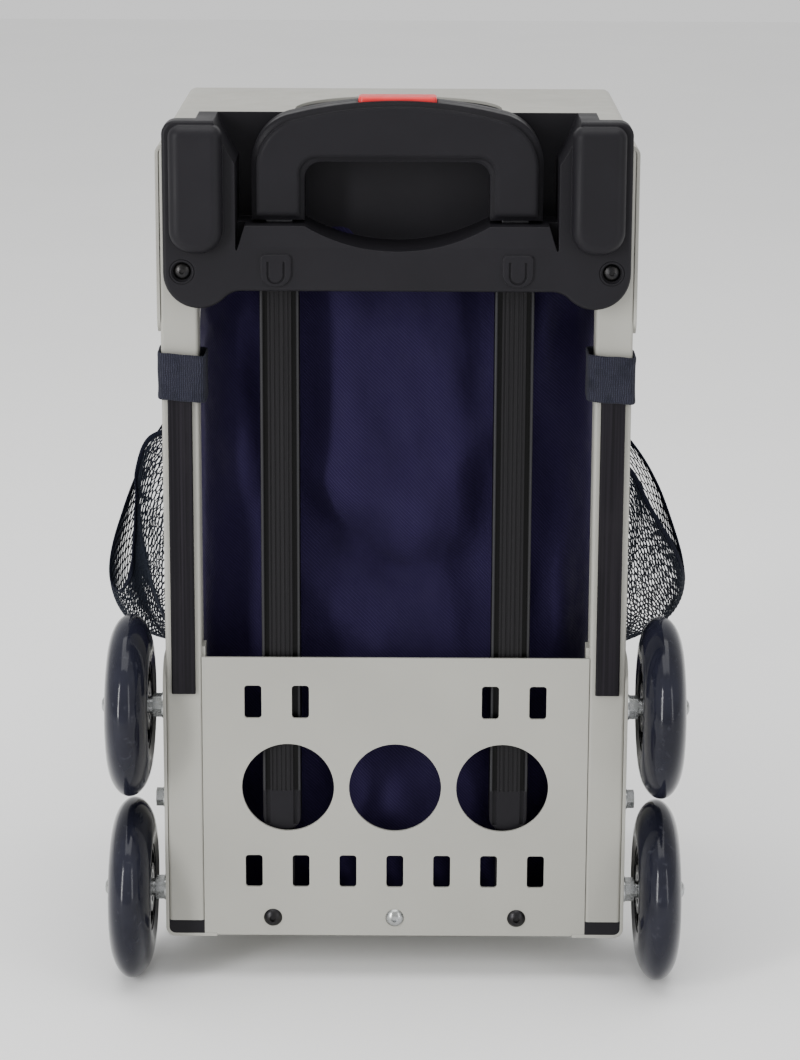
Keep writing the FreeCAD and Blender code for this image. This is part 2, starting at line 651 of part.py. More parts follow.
def tube_foot(side):
    """Moulded end plug of the outer tube, with a web down to the crossmember."""
    x = side * TUBE_X
    head = upright_box(x, TUBE_Y, OUTER_W, OUTER_D, FOOT_LOW, OUTER_LOW)
    head = head.makeFillet(1.0, edges_along(head, UP))
    head = cut_grooves(head, x, FOOT_LOW + 3, OUTER_LOW + 1, False)
    loose = 2 * (OUTER_WALL + 0.1)
    spigot = upright_box(x, TUBE_Y, OUTER_W - loose, OUTER_D - loose, OUTER_LOW - 1, OUTER_LOW + 12)
    web = upright_box(x, TUBE_Y, 15.0, 12.0, CROSS_TOP, FOOT_LOW + 1)
    corners = upright_box(x, TUBE_Y, 40, 40, FOOT_LOW, FOOT_LOW + FOOT_TURN)
    for edge in (-1, 1):
        turn_x = x + edge * (OUTER_W / 2 - FOOT_TURN)
        turn = Vector(turn_x, TUBE_Y - 21, FOOT_LOW + FOOT_TURN)
        corners = corners.cut(cylinder(FOOT_TURN, turn, ALONG_Y, 42))
    flat = upright_box(x, TUBE_Y, OUTER_W - 2 * FOOT_TURN, 42, FOOT_LOW - 1, FOOT_LOW + FOOT_TURN + 1)
    corners = corners.cut(flat)
    return fuse_all([head.cut(corners), spigot, web])


def middle_tube(side):
    return rect_tube(side * TUBE_X, TUBE_Y, MIDDLE_W, MIDDLE_D, 1.6, 138.0, DECK_Z + 1.0, 1.2)


def inner_tube(side):
    return rect_tube(side * TUBE_X, TUBE_Y, INNER_W, INNER_D, 1.2, 140.0, INNER_TOP, 1.0)


# ---- grip ----------------------------------------------------------------
def grip_outline(y, grow):
    """Arched outline of the grip, from one leg over to the other."""
    half = GRIP_OUT - grow
    top = GRIP_TOP - grow
    shoulder_z = top - 7.5
    shoulder_x = half - 24.0
    leg_top = top - 36.0
    edges = []
    for side in (-1.0, 1.0):
        foot_out = Vector(side * half, y, GRIP_LOW + grow)
        foot_in = Vector(side * (GRIP_IN + grow), y, GRIP_LOW + grow)
        leg = Vector(side * half, y, leg_top)
        shoulder = Vector(side * shoulder_x, y, shoulder_z)
        bulge = Vector(side * (half - 6.5), y, top - 18.0)
        inner_leg = Vector(side * (GRIP_IN + grow), y, GRIP_HAND_TOP - 10)
        inner_top = Vector(side * (GRIP_IN + grow - 10), y, GRIP_HAND_TOP + grow)
        turn = 10 * (1 - math.cos(math.radians(45)))
        inner_mid = Vector(side * (GRIP_IN + grow - turn), y, GRIP_HAND_TOP + grow - turn)
        edges += [line(foot_in, foot_out), line(foot_out, leg), arc(leg, bulge, shoulder)]
        edges += [line(foot_in, inner_leg), arc(inner_leg, inner_mid, inner_top)]
    left_shoulder = Vector(-shoulder_x, y, shoulder_z)
    right_shoulder = Vector(shoulder_x, y, shoulder_z)
    edges.append(arc(left_shoulder, Vector(0, y, top), right_shoulder))
    hand_x = GRIP_IN + grow - 10
    hand_z = GRIP_HAND_TOP + grow
    edges.append(line(Vector(-hand_x, y, hand_z), Vector(hand_x, y, hand_z)))
    return face_from(edges)


def grip_solid():
    """Whole grip, softened, hollowed for the crossbar and open for the button."""
    depth = GRIP_FRONT - GRIP_REAR
    chamfer = 3.0
    body = grip_outline(GRIP_REAR + chamfer, 0.0).extrude(Vector(0, depth - 2 * chamfer, 0))
    slim = grip_outline(GRIP_REAR, chamfer).extrude(Vector(0, depth, 0))
    body = body.fuse(slim).removeSplitter()
    body = body.cut(upright_box(0, TUBE_Y, 2 * TUBE_X + 6.8, 9.0, SPRING_LOW, BAR_HIGH + 1))
    for name, side in SIDES:
        x = side * TUBE_X
        body = body.cut(upright_box(x, TUBE_Y, INNER_W, INNER_D, GRIP_LOW - 1, INNER_TOP))
        body = body.cut(cylinder(2.4, Vector(x, TUBE_Y, INNER_TOP - 1), UP, 26))
    half = BUTTON_W / 2 + 0.4
    body = body.cut(box(-half, half, TUBE_Y - 8.4, TUBE_Y + 8.4, 534.0, GRIP_TOP + 5))
    return body


def grip_shell(front):
    """Half of the grip, parted along its middle plane."""
    y0, y1 = (TUBE_Y, GRIP_FRONT + 1) if front else (GRIP_REAR - 1, TUBE_Y)
    shell = grip_solid().common(box(-100, 100, y0, y1, GRIP_LOW - 5, GRIP_TOP + 5))
    for x in (-GRIP_SCREW_X, GRIP_SCREW_X):
        shaft = Vector(x, TUBE_Y - 6, GRIP_SCREW_Z)
        shell = shell.cut(cylinder(1.5, shaft, ALONG_Y, GRIP_FRONT - TUBE_Y + 10))
        shell = shell.cut(cylinder(3.4, Vector(x, GRIP_FRONT - 3, GRIP_SCREW_Z), ALONG_Y, 5))
    return shell


def grip_screws():
    screws = []
    for x in (-GRIP_SCREW_X, GRIP_SCREW_X):
        shaft = cylinder(1.5, Vector(x, TUBE_Y - 6, GRIP_SCREW_Z), ALONG_Y, GRIP_FRONT - TUBE_Y + 3)
        head = cylinder(3.3, Vector(x, GRIP_FRONT - 3, GRIP_SCREW_Z), ALONG_Y, 2)
        socket = cylinder(1.1, Vector(x, GRIP_FRONT - 2, GRIP_SCREW_Z), ALONG_Y, 2)
        screws.append(shaft.fuse(head).cut(socket).removeSplitter())
    return Part.makeCompound(screws)


def release_button():
    """Push button in the top of the grip."""
    top = GRIP_TOP + 2.0
    cap = upright_box(0, TUBE_Y, BUTTON_W, 16.0, BUTTON_LOW, top)
    cap = cap.makeFillet(3.0, edges_along(cap, UP))
    crown = [edge for edge in cap.Edges if abs(edge.CenterOfMass.z - top) < 0.01]
    return cap.makeFillet(1.6, crown)


def release_rods():
    """Crossbar under the button with a rod down each inner tube."""
    bar = upright_box(0, TUBE_Y, 2 * TUBE_X + 4, 6.0, BAR_LOW, BAR_HIGH)
    stem = upright_box(0, TUBE_Y, 12.0, 6.0, BAR_HIGH - 1, BUTTON_LOW)
    parts = [bar, stem]
    for name, side in SIDES:
        parts.append(cylinder(ROD_R, Vector(side * TUBE_X, TUBE_Y, ROD_LOW), UP, BAR_LOW + 1 - ROD_LOW))
    return fuse_all(parts)


def button_spring():
    """Rubber bellows under the crossbar, which pushes the button back up."""
    folds = 4
    pitch = (BAR_LOW - SPRING_LOW) / folds
    outside = []
    inside = []
    for k in range(folds):
        z = SPRING_LOW + k * pitch
        outside += [(2.9, z), (3.9, z + pitch / 2)]
        inside += [(2.0, z), (3.0, z + pitch / 2)]
    outside.append((2.9, BAR_LOW))
    inside.append((2.0, BAR_LOW))
    points = [Vector(r, TUBE_Y, z) for r, z in outside + inside[::-1]]
    profile = Part.Face(Part.makePolygon(points + [points[0]]))
    return profile.revolve(Vector(0, TUBE_Y, SPRING_LOW), UP, 360)


# ---- soft parts ----------------------------------------------------------
def bag_body():
    """Fabric insert, open at the front where the flap closes it."""
    outer = soft_box(-BAG_X, BAG_X, BAG_REAR, BAG_FRONT, BAG_LOW, BAG_TOP, 5.0)
    w = BAG_WALL
    inner = box(-BAG_X + w, BAG_X - w, BAG_REAR + w, BAG_FRONT - w, BAG_LOW + w, BAG_TOP - w)
    rim = FLAP_X - FLAP_LAP
    mouth = box(-rim, rim, BAG_FRONT - w - 1, BAG_FRONT + 1, FLAP_LOW + FLAP_LAP, FLAP_TOP - FLAP_LAP)
    return outer.cut(inner).cut(mouth)


def front_flap():
    """Padded front panel with its flat outside pocket."""
    panel = rounded_box(-FLAP_X, FLAP_X, FLAP_REAR, FLAP_FRONT, FLAP_LOW, FLAP_TOP, 14.0, ALONG_Y)
    pocket = rounded_box(-88, 88, FLAP_FRONT - 1, POCKET_FRONT, 84.0, 330.0, 12.0, ALONG_Y)
    return panel.fuse(pocket).removeSplitter()


def zip_slider(side):
    """Zip slider with its pull tab hanging."""
    x = side * (FLAP_X + 3.4)
    slider = box(x - 2.8, x + 2.8, BAG_FRONT + 0.3, BAG_FRONT + 4.5, 446.0, 456.0)
    pull = box(x - 2.2, x + 2.2, BAG_FRONT + 3.4, BAG_FRONT + 4.6, 424.0, 449.0)
    return slider.fuse(pull).removeSplitter()


def pocket_loft(side, levels, inset, x_wall):
    """Loft through rounded sections; each level is z, outer x, y from, y to."""
    wires = []
    for z, x_out, y0, y1 in levels:
        x1 = side * (x_out - inset)
        a = Vector(side * x_wall, y0 + inset, z)
        b = Vector(x1 - side * 16, y0 + inset, z)
        bc = Vector(x1 - side * 4, y0 + inset + 9, z)
        c = Vector(x1, y0 + inset + 28, z)
        d = Vector(x1, y1 - inset - 28, z)
        de = Vector(x1 - side * 4, y1 - inset - 9, z)
        e = Vector(x1 - side * 16, y1 - inset, z)
        f = Vector(side * x_wall, y1 - inset, z)
        near = [line(a, b), arc(b, bc, c)]
        far = [line(c, d), arc(d, de, e), line(e, f), line(f, a)]
        wires.append(Part.Wire(near + far))
    return Part.makeLoft(wires, True, True)


def mesh_pocket(side):
    """Open-topped side pocket: thin bulging wall on a flat back."""
    levels = [(188.0, 140.0, 96.0, 226.0), (200.0, 164.0, 86.0, 236.0), (222.0, 179.0, 80.0, 242.0),
              (250.0, 184.0, 78.0, 244.0), (285.0, 178.0, 78.0, 244.0), (320.0, 164.0, 80.0, 242.0),
              (345.0, 150.0, 82.0, 240.0)]
    outer = pocket_loft(side, levels, 0.0, BAG_X + 0.3)
    floor = (levels[0][0] + NET_WALL,) + levels[0][1:]
    mouth = (levels[-1][0] + 1.0, levels[-1][1] - 0.6) + levels[-1][2:]
    inner_levels = [floor] + levels[1:-1] + [mouth]
    inner = pocket_loft(side, inner_levels, NET_WALL, BAG_X + 0.3 + NET_WALL)
    return outer.cut(inner)


def strap(side):
    """Webbing loop round a post, holding the bag to the frame."""
    gap = 0.3
    out = POST_OUT + gap
    back = POST + gap
    hem = POST_IN - 3.0
    rear = GLIDE_T + 0.2
    outer = rounded_box(side * (out + STRAP_T + 0.1), side * (hem - STRAP_T), -rear - STRAP_T,
                        back + STRAP_T + 0.1, STRAP_LOW, STRAP_TOP, 2.5, UP)
    inner = box(side * out, side * (hem + 1.0), -rear, back, STRAP_LOW - 1, STRAP_TOP + 1)
    return outer.cut(inner)


# ---- write every part ----------------------------------------------------
def main():
    save("seat_frame", seat_frame())
    save("seat_cup", seat_cup())
    save("base_frame", base_frame())
    save("back_plate", back_plate())
    save("rear_crossmember", rear_crossmember())
    for name, side in SIDES:
        save("post_rear_" + name, post(side, 0.0))
        save("post_front_" + name, post(side, DEPTH - POST))
        save("glide_strip_" + name, glide_strip(side))
        save("front_foot_" + name, front_foot(side))
        save("outer_tube_" + name, outer_tube(side))
        save("tube_foot_" + name, tube_foot(side))
        save("middle_tube_" + name, middle_tube(side))
        save("inner_tube_" + name, inner_tube(side))
        save("zip_slider_" + name, zip_slider(side))
        save("mesh_pocket_" + name, mesh_pocket(side))
        save("strap_" + name, strap(side))
        for level, z in (("lower", WHEEL_LOW_Z), ("upper", WHEEL_HIGH_Z)):
            centre = Vector(side * WHEEL_X, WHEEL_Y, z)
            tag = "_" + level + "_" + name
            save("tyre" + tag, tyre(centre))
            save("hub" + tag, hub(centre))
            save("bearings" + tag, bearings(centre))
            save("axle" + tag, axle(centre, side))
    save("post_caps", post_caps())
    save("plate_screws_black", plate_screws((-SCREW_X, SCREW_X)))
    save("plate_screw_middle", plate_screws((0.0,)))
    save("side_bolts", side_bolts())
    save("handle_housing", handle_housing())
    save("housing_screws", housing_screws())
    save("grip_rear_shell", grip_shell(False))
    save("grip_front_shell", grip_shell(True))
    save("grip_screws", grip_screws())
    save("release_button", release_button())
    save("release_rods", release_rods())
    save("button_spring", button_spring())
    save("bag_body", bag_body())
    save("front_flap", front_flap())


main()
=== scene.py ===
import bpy
import bmesh
import json
import math
import numpy as np
from mathutils import Matrix, Vector, noise

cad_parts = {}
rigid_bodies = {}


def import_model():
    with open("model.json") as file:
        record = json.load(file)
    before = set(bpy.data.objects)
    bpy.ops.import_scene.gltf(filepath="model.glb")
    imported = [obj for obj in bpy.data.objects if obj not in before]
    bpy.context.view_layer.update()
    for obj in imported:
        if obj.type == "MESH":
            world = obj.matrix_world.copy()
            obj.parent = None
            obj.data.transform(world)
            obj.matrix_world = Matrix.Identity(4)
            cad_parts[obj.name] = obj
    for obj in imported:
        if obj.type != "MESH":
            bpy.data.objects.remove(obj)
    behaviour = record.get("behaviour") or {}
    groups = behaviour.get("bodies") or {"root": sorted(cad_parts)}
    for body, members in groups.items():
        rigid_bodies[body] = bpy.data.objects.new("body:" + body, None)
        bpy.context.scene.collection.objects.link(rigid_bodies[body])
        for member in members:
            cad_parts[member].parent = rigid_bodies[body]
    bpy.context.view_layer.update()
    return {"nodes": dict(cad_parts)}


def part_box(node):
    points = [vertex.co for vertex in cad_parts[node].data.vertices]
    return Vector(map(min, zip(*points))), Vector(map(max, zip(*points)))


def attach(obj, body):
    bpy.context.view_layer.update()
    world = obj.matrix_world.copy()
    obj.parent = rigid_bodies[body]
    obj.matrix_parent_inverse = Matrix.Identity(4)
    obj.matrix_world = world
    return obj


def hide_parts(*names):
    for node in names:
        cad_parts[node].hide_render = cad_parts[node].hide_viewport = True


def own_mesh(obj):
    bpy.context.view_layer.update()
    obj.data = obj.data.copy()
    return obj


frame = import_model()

NODES = frame["nodes"]
SIDES = (("left", -1.0), ("right", 1.0))
RIM_X = 96.0                                    # bag's front opening, mm
RIM_LOW, RIM_HIGH = 64.0, 466.0
SETTLE_FRAMES = 26                              # cloth simulation of the bag
THREAD = 0.00105                                # net thread, m
Y0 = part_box("post_rear_left")[0].y * 1000.0     # handle-side face of the posts, mm


def mm(node):
    """Box of a CAD node in mm, with y measured from the handle-side face of the posts."""
    lo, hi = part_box(node)
    low = np.array(lo) * 1000.0
    high = np.array(hi) * 1000.0
    low[1] -= Y0
    high[1] -= Y0
    return low, high


def metres(points):
    """Points in mm as points of the shared frame."""
    out = np.array(points, float).reshape(-1, 3).copy()
    out[:, 1] += Y0
    return out / 1000.0


# ---- materials -----------------------------------------------------------
class Look:
    """A Principled material built up from procedural layers."""

    def __init__(self, name, colour, roughness, metallic=0.0, **sockets):
        self.material = bpy.data.materials.new(name)
        self.material.use_nodes = True
        self.tree = self.material.node_tree
        self.shader = self.tree.nodes["Principled BSDF"]
        self.colour = colour
        self.set("Base Color", (*colour, 1.0))
        self.set("Roughness", roughness)
        self.set("Metallic", metallic)
        for socket, value in sockets.items():
            self.set(socket.replace("_", " "), value)
        self.source = self.add("ShaderNodeTexCoord")
        self.height = None

    def add(self, kind, **settings):
        made = self.tree.nodes.new(kind)
        for key, value in settings.items():
            setattr(made, key, value)
        return made

    def link(self, out, into):
        self.tree.links.new(out, into)

    def set(self, socket, value):
        self.shader.inputs[socket].default_value = value

    def place(self, scale, uv=False):
        """Coordinates stretched by scale, which is in features per metre."""
        mapping = self.add("ShaderNodeMapping")
        mapping.inputs["Scale"].default_value = scale
        self.link(self.source.outputs["UV" if uv else "Object"], mapping.inputs["Vector"])
        return mapping.outputs["Vector"]

    def noise(self, scale, detail=2.0, rough=0.5):
        made = self.add("ShaderNodeTexNoise")
        made.inputs["Scale"].default_value = 1.0
        made.inputs["Detail"].default_value = detail
        made.inputs["Roughness"].default_value = rough
        self.link(self.place(scale), made.inputs["Vector"])
        return made.outputs["Fac"]

    def ramp(self, value, low, high, to_low=0.0, to_high=1.0):
        made = self.add("ShaderNodeMapRange")
        self.link(value, made.inputs["Value"])
        for key, number in (("From Min", low), ("From Max", high), ("To Min", to_low), ("To Max", to_high)):
            made.inputs[key].default_value = number
        return made.outputs["Result"]

    def maths(self, kind, a, b=None):
        made = self.add("ShaderNodeMath", operation=kind)
        for index, value in enumerate((a, b)):
            if value is None:
                continue
            if isinstance(value, (int, float)):
                made.inputs[index].default_value = value
            else:
                self.link(value, made.inputs[index])
        return made.outputs["Value"]

    def tint(self, value, other):
        """Mix the base colour towards another colour by value."""
        made = self.add("ShaderNodeMix", data_type="RGBA")
        self.link(value, made.inputs["Factor"])
        links = self.shader.inputs["Base Color"].links
        if links:
            self.link(links[0].from_socket, made.inputs["A"])
        else:
            made.inputs["A"].default_value = (*self.colour, 1.0)
        made.inputs["B"].default_value = (*other, 1.0)
        self.link(made.outputs["Result"], self.shader.inputs["Base Color"])

    def vary_roughness(self, value, low, high):
        self.link(self.ramp(value, 0.3, 0.7, low, high), self.shader.inputs["Roughness"])

    def bump(self, value, distance, strength=1.0):
        made = self.add("ShaderNodeBump")
        made.inputs["Distance"].default_value = distance
        made.inputs["Strength"].default_value = strength
        self.link(value, made.inputs["Height"])
        if self.height is not None:
            self.link(self.height, made.inputs["Normal"])
        self.height = made.outputs["Normal"]
        self.link(self.height, self.shader.inputs["Normal"])

    def soft_edges(self, radius):
        """Rounded look of sharp edges, as a normal for the layers above."""
        made = self.add("ShaderNodeBevel", samples=4)
        made.inputs["Radius"].default_value = radius
        self.height = made.outputs["Normal"]
        self.link(self.height, self.shader.inputs["Normal"])

    def edge_mask(self, radius, low, high):
        """One along sharp edges, nothing on flat faces."""
        bevel = self.add("ShaderNodeBevel", samples=4)
        bevel.inputs["Radius"].default_value = radius
        flat = self.add("ShaderNodeNewGeometry")
        dot = self.add("ShaderNodeVectorMath", operation="DOT_PRODUCT")
        self.link(bevel.outputs["Normal"], dot.inputs[0])
        self.link(flat.outputs["Normal"], dot.inputs[1])
        return self.ramp(self.maths("SUBTRACT", 1.0, dot.outputs["Value"]), low, high)


def painted_metal():
    look = Look("frame_metal", (0.322, 0.317, 0.286), 0.44, Specular_IOR_Level=0.2)
    look.soft_edges(0.0006)
    look.tint(look.ramp(look.noise((9, 9, 9), 3.0), 0.35, 0.7), (0.292, 0.288, 0.260))
    look.tint(look.edge_mask(0.0009, 0.02, 0.3), (0.43, 0.43, 0.395))
    look.vary_roughness(look.noise((60, 60, 60), 3.0), 0.36, 0.5)
    look.bump(look.noise((1400, 1400, 1400), 1.0), 0.00004, 0.5)
    return look


def moulded(name, colour, rough, grain, edge=0.0008):
    look = Look(name, colour, rough, Specular_IOR_Level=0.12)
    look.soft_edges(edge)
    pale = tuple(c * 1.8 + 0.006 for c in colour)
    look.tint(look.ramp(look.noise((14, 14, 14), 4.0), 0.4, 0.8), tuple(c * 1.25 for c in colour))
    # painted highlight: sharp edges are tinted towards the paler colour, as if they catch the light
    look.tint(look.edge_mask(0.0008, 0.03, 0.4), pale)
    look.vary_roughness(look.noise((40, 40, 40), 4.0), rough - 0.06, rough + 0.08)
    look.bump(look.noise((1500, 1500, 1500), 2.0), 0.00006, grain)
    return look


def rub_strip():
    look = Look("rub_strip", (0.0050, 0.0044, 0.0060), 0.45, Specular_IOR_Level=0.1)
    look.soft_edges(0.0005)
    streak = look.noise((700, 700, 5), 3.0)
    look.tint(look.ramp(streak, 0.42, 0.8), (0.014, 0.012, 0.016))
    look.tint(look.ramp(look.noise((90, 90, 18), 4.0, 0.6), 0.5, 0.85), (0.012, 0.0105, 0.013))
    look.vary_roughness(streak, 0.34, 0.52)
    look.bump(streak, 0.00008, 0.4)
    return look


def drawn_alloy(name, colour, rough, metallic=0.85):
    look = Look(name, colour, rough, metallic, Specular_IOR_Level=0.12)
    look.soft_edges(0.0004)
    lines = look.noise((2600, 2600, 6), 2.0)
    look.tint(look.ramp(lines, 0.35, 0.7), tuple(c * 1.3 + 0.004 for c in colour))
    look.vary_roughness(lines, rough - 0.07, rough + 0.09)
    look.bump(lines, 0.00003, 0.35)
    return look


def tube_profile():
    """Extruded tube: fine ribs in the middle with painted highlights on them; on each side a painted shadow for
    the deep groove and a painted highlight along the bright rim, with painted shade at the outer edge.
    """
    look = drawn_alloy("outer_tube_alloy", (0.0066, 0.0062, 0.0072), 0.36, 0.02)
    low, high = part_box("outer_tube_right")
    centre, half = (low.x + high.x) / 2, (high.x - low.x) / 2
    split = look.add("ShaderNodeSeparateXYZ")
    look.link(look.source.outputs["Object"], split.inputs["Vector"])
    away = look.maths("ABSOLUTE", look.maths("SUBTRACT", look.maths("ABSOLUTE", split.outputs["X"]), centre))
    ribs = look.maths("SINE", look.maths("MULTIPLY", away, 2 * math.pi / 0.0021))
    # painted highlight on the rib crests
    look.tint(look.ramp(ribs, 0.2, 1.0, 0.0, 0.5), (0.013, 0.0125, 0.0135))
    # painted shadow: a dark band where the groove's shade falls
    look.tint(look.ramp(away, half * 0.58, half * 0.64), (0.0008, 0.0008, 0.0009))
    # painted highlight: a bright band along the rim
    look.tint(look.ramp(away, half * 0.84, half * 0.90), (0.026, 0.026, 0.028))
    # painted shade along the outer edge of the tube
    look.tint(look.ramp(away, half * 0.965, half), (0.002, 0.002, 0.002))
    return look


def plated(name, colour, rough, cloud):
    look = Look(name, colour, rough, 1.0)
    look.soft_edges(0.0003)
    look.tint(look.ramp(look.noise((130, 130, 130), 4.0, 0.6), 0.35, 0.75), cloud)
    look.vary_roughness(look.noise((420, 420, 420), 3.0), rough - 0.06, rough + 0.12)
    look.bump(look.noise((1800, 1800, 1800), 1.0), 0.00002, 0.3)
    return look


def tyre_urethane():
    look = Look("urethane", (0.0080, 0.0084, 0.0145), 0.08, Transmission_Weight=0.12, IOR=1.45,
                Specular_IOR_Level=0.20)
    cloud = look.noise((26, 26, 26), 4.0, 0.6)
    look.tint(look.ramp(cloud, 0.35, 0.75), (0.017, 0.018, 0.029))
    look.tint(look.ramp(look.noise((240, 240, 240), 3.0), 0.62, 0.8), (0.034, 0.035, 0.046))
    look.vary_roughness(look.noise((70, 70, 70), 4.0, 0.65), 0.06, 0.2)
    look.bump(look.noise((50, 50, 50), 2.0), 0.0002, 0.12)
    return look


def red_button():
    look = Look("red_plastic", (0.60, 0.022, 0.026), 0.34, Specular_IOR_Level=0.35)
    look.soft_edges(0.0006)
    look.tint(look.ramp(look.noise((60, 60, 60), 3.0), 0.35, 0.75), (0.50, 0.016, 0.020))
    look.vary_roughness(look.noise((180, 180, 180), 3.0), 0.28, 0.44)
    look.bump(look.noise((1600, 1600, 1600), 1.0), 0.00004, 0.3)
    return look


def rubber():
    look = Look("foot_rubber", (0.010, 0.010, 0.011), 0.72, Specular_IOR_Level=0.2)
    look.soft_edges(0.0006)
    look.tint(look.ramp(look.noise((60, 60, 60), 5.0), 0.4, 0.8), (0.020, 0.019, 0.018))
    look.vary_roughness(look.noise((200, 200, 200), 4.0), 0.62, 0.85)
    look.bump(look.noise((1100, 1100, 1100), 3.0), 0.00008, 0.6)
    return look


def woven(name, colour, pale, pitch, sheen=0.015):
    """Twill cloth: threads cross in UV, which is in metres."""
    look = Look(name, colour, 0.78, Sheen_Weight=sheen, Sheen_Roughness=0.4, Specular_IOR_Level=0.06)
    place = look.place((2 * math.pi / pitch, 2 * math.pi / pitch, 1), uv=True)
    split = look.add("ShaderNodeSeparateXYZ")
    look.link(place, split.inputs["Vector"])
    u, v = split.outputs["X"], split.outputs["Y"]
    warp = look.maths("SINE", u)
    weft = look.maths("SINE", v)
    cross = look.maths("MULTIPLY", warp, weft)
    twill = look.maths("SINE", look.maths("MULTIPLY", look.maths("ADD", u, v), 0.5))
    height = look.maths("ADD", cross, look.maths("MULTIPLY", twill, 0.8))
    look.tint(look.ramp(height, -0.6, 1.5), pale)
    look.tint(look.ramp(look.noise((16, 16, 7), 4.0), 0.45, 0.85), tuple(c * 0.72 for c in colour))
    look.vary_roughness(look.noise((90, 90, 90), 3.0), 0.7, 0.88)
    look.bump(height, 0.00012, 0.55)
    look.bump(look.noise((46, 46, 24), 3.0, 0.6), 0.0035, 0.5)
    return look


def webbing_look():
    """Belt webbing: fine ribs across, with a wavering herringbone along."""
    look = Look("webbing", (0.0105, 0.0105, 0.018), 0.8, Sheen_Weight=0.03,
                Sheen_Roughness=0.5, Specular_IOR_Level=0.15)
    split = look.add("ShaderNodeSeparateXYZ")
    look.link(look.place((2 * math.pi / 0.0011, 2 * math.pi / 0.0013, 1), uv=True), split.inputs["Vector"])
    wave = look.maths("MULTIPLY", look.noise((260, 260, 260), 2.0), 9.0)
    ribs = look.maths("SINE", look.maths("ADD", split.outputs["Y"], wave))
    cross = look.maths("SINE", split.outputs["X"])
    height = look.maths("ADD", ribs, look.maths("MULTIPLY", cross, 0.4))
    look.tint(look.ramp(height, -0.5, 1.4), (0.026, 0.028, 0.044))
    look.tint(look.ramp(look.noise((120, 120, 120), 4.0), 0.5, 0.8), (0.006, 0.007, 0.012))
    look.vary_roughness(look.noise((300, 300, 300), 3.0), 0.7, 0.92)
    look.bump(height, 0.00025, 0.7)
    return look


def thread_look(name, colour, pale):
    look = Look(name, colour, 0.62, Specular_IOR_Level=0.2)
    look.tint(look.ramp(look.noise((900, 900, 900), 3.0), 0.35, 0.75), pale)
    look.vary_roughness(look.noise((500, 500, 500), 3.0), 0.5, 0.75)
    look.bump(look.noise((2400, 2400, 2400), 2.0), 0.00008, 0.5)
    return look


FRAME_METAL = painted_metal().material
BLACK_PLASTIC = moulded("black_plastic", (0.0085, 0.008, 0.0098), 0.46, 0.7).material
GRIP_PLASTIC = moulded("grip_plastic", (0.0085, 0.008, 0.0098), 0.42, 0.6, 0.0045).material
RUB_STRIP = rub_strip().material
BLACK_ALLOY = drawn_alloy("black_alloy", (0.009, 0.009, 0.010), 0.36, 0.05).material
TUBE_ALLOY = tube_profile().material
DARK_ALLOY = drawn_alloy("dark_alloy", (0.075, 0.075, 0.08), 0.34).material
BRIGHT_ALLOY = drawn_alloy("bright_alloy", (0.50, 0.51, 0.52), 0.28, 1.0).material
BLACK_SCREW = plated("black_screw", (0.022, 0.022, 0.024), 0.34, (0.034, 0.032, 0.030)).material
ZINC_STEEL = plated("zinc_steel", (0.40, 0.41, 0.42), 0.24, (0.30, 0.31, 0.29)).material
BEARING_STEEL = plated("bearing_steel", (0.50, 0.50, 0.51), 0.16, (0.40, 0.41, 0.42)).material
URETHANE = tyre_urethane().material
HUB_PLASTIC = moulded("hub_plastic", (0.006, 0.006, 0.008), 0.24, 0.2).material
RED_PLASTIC = red_button().material
FOOT_RUBBER = rubber().material
NAVY_FABRIC = woven("navy_fabric", (0.0095, 0.0066, 0.0250), (0.0215, 0.0160, 0.0520), 0.0011).material
LINING = woven("lining", (0.010, 0.010, 0.013), (0.022, 0.022, 0.027), 0.0011, 0.02).material
BINDING = woven("binding_tape", (0.005, 0.006, 0.012), (0.012, 0.014, 0.024), 0.0009).material
WEBBING = webbing_look().material
NET_THREAD = thread_look("net_thread", (0.0045, 0.0065, 0.0125), (0.010, 0.014, 0.024)).material
STITCH = thread_look("stitch_thread", (0.02, 0.02, 0.05), (0.04, 0.04, 0.08)).material
ZIP_COIL = thread_look("zip_coil", (0.010, 0.010, 0.017), (0.02, 0.02, 0.032)).material
ZIP_METAL = plated("zip_metal", (0.14, 0.14, 0.15), 0.28, (0.09, 0.09, 0.10)).material

FINISH = {"frame_metal": FRAME_METAL, "black_plastic": BLACK_PLASTIC, "black_alloy": BLACK_ALLOY,
          "dark_alloy": DARK_ALLOY, "bright_alloy": BRIGHT_ALLOY, "black_screw": BLACK_SCREW,
          "zinc_steel": ZINC_STEEL, "bearing_steel": BEARING_STEEL, "urethane": URETHANE,
          "hub_plastic": HUB_PLASTIC, "red_plastic": RED_PLASTIC, "foot_rubber": FOOT_RUBBER,
          "navy_fabric": NAVY_FABRIC, "navy_mesh": NET_THREAD, "webbing": WEBBING, "zip_metal": ZIP_METAL}


def finish_nodes():
    for name, obj in NODES.items():
        for slot in obj.material_slots:
            slot.material = FINISH[slot.material.name.split(".")[0]]
        if name.startswith("glide_strip"):
            obj.material_slots[0].material = RUB_STRIP
        if name.startswith("outer_tube"):
            obj.material_slots[0].material = TUBE_ALLOY
        if name in ("grip_rear_shell", "grip_front_shell"):
            obj.material_slots[0].material = GRIP_PLASTIC


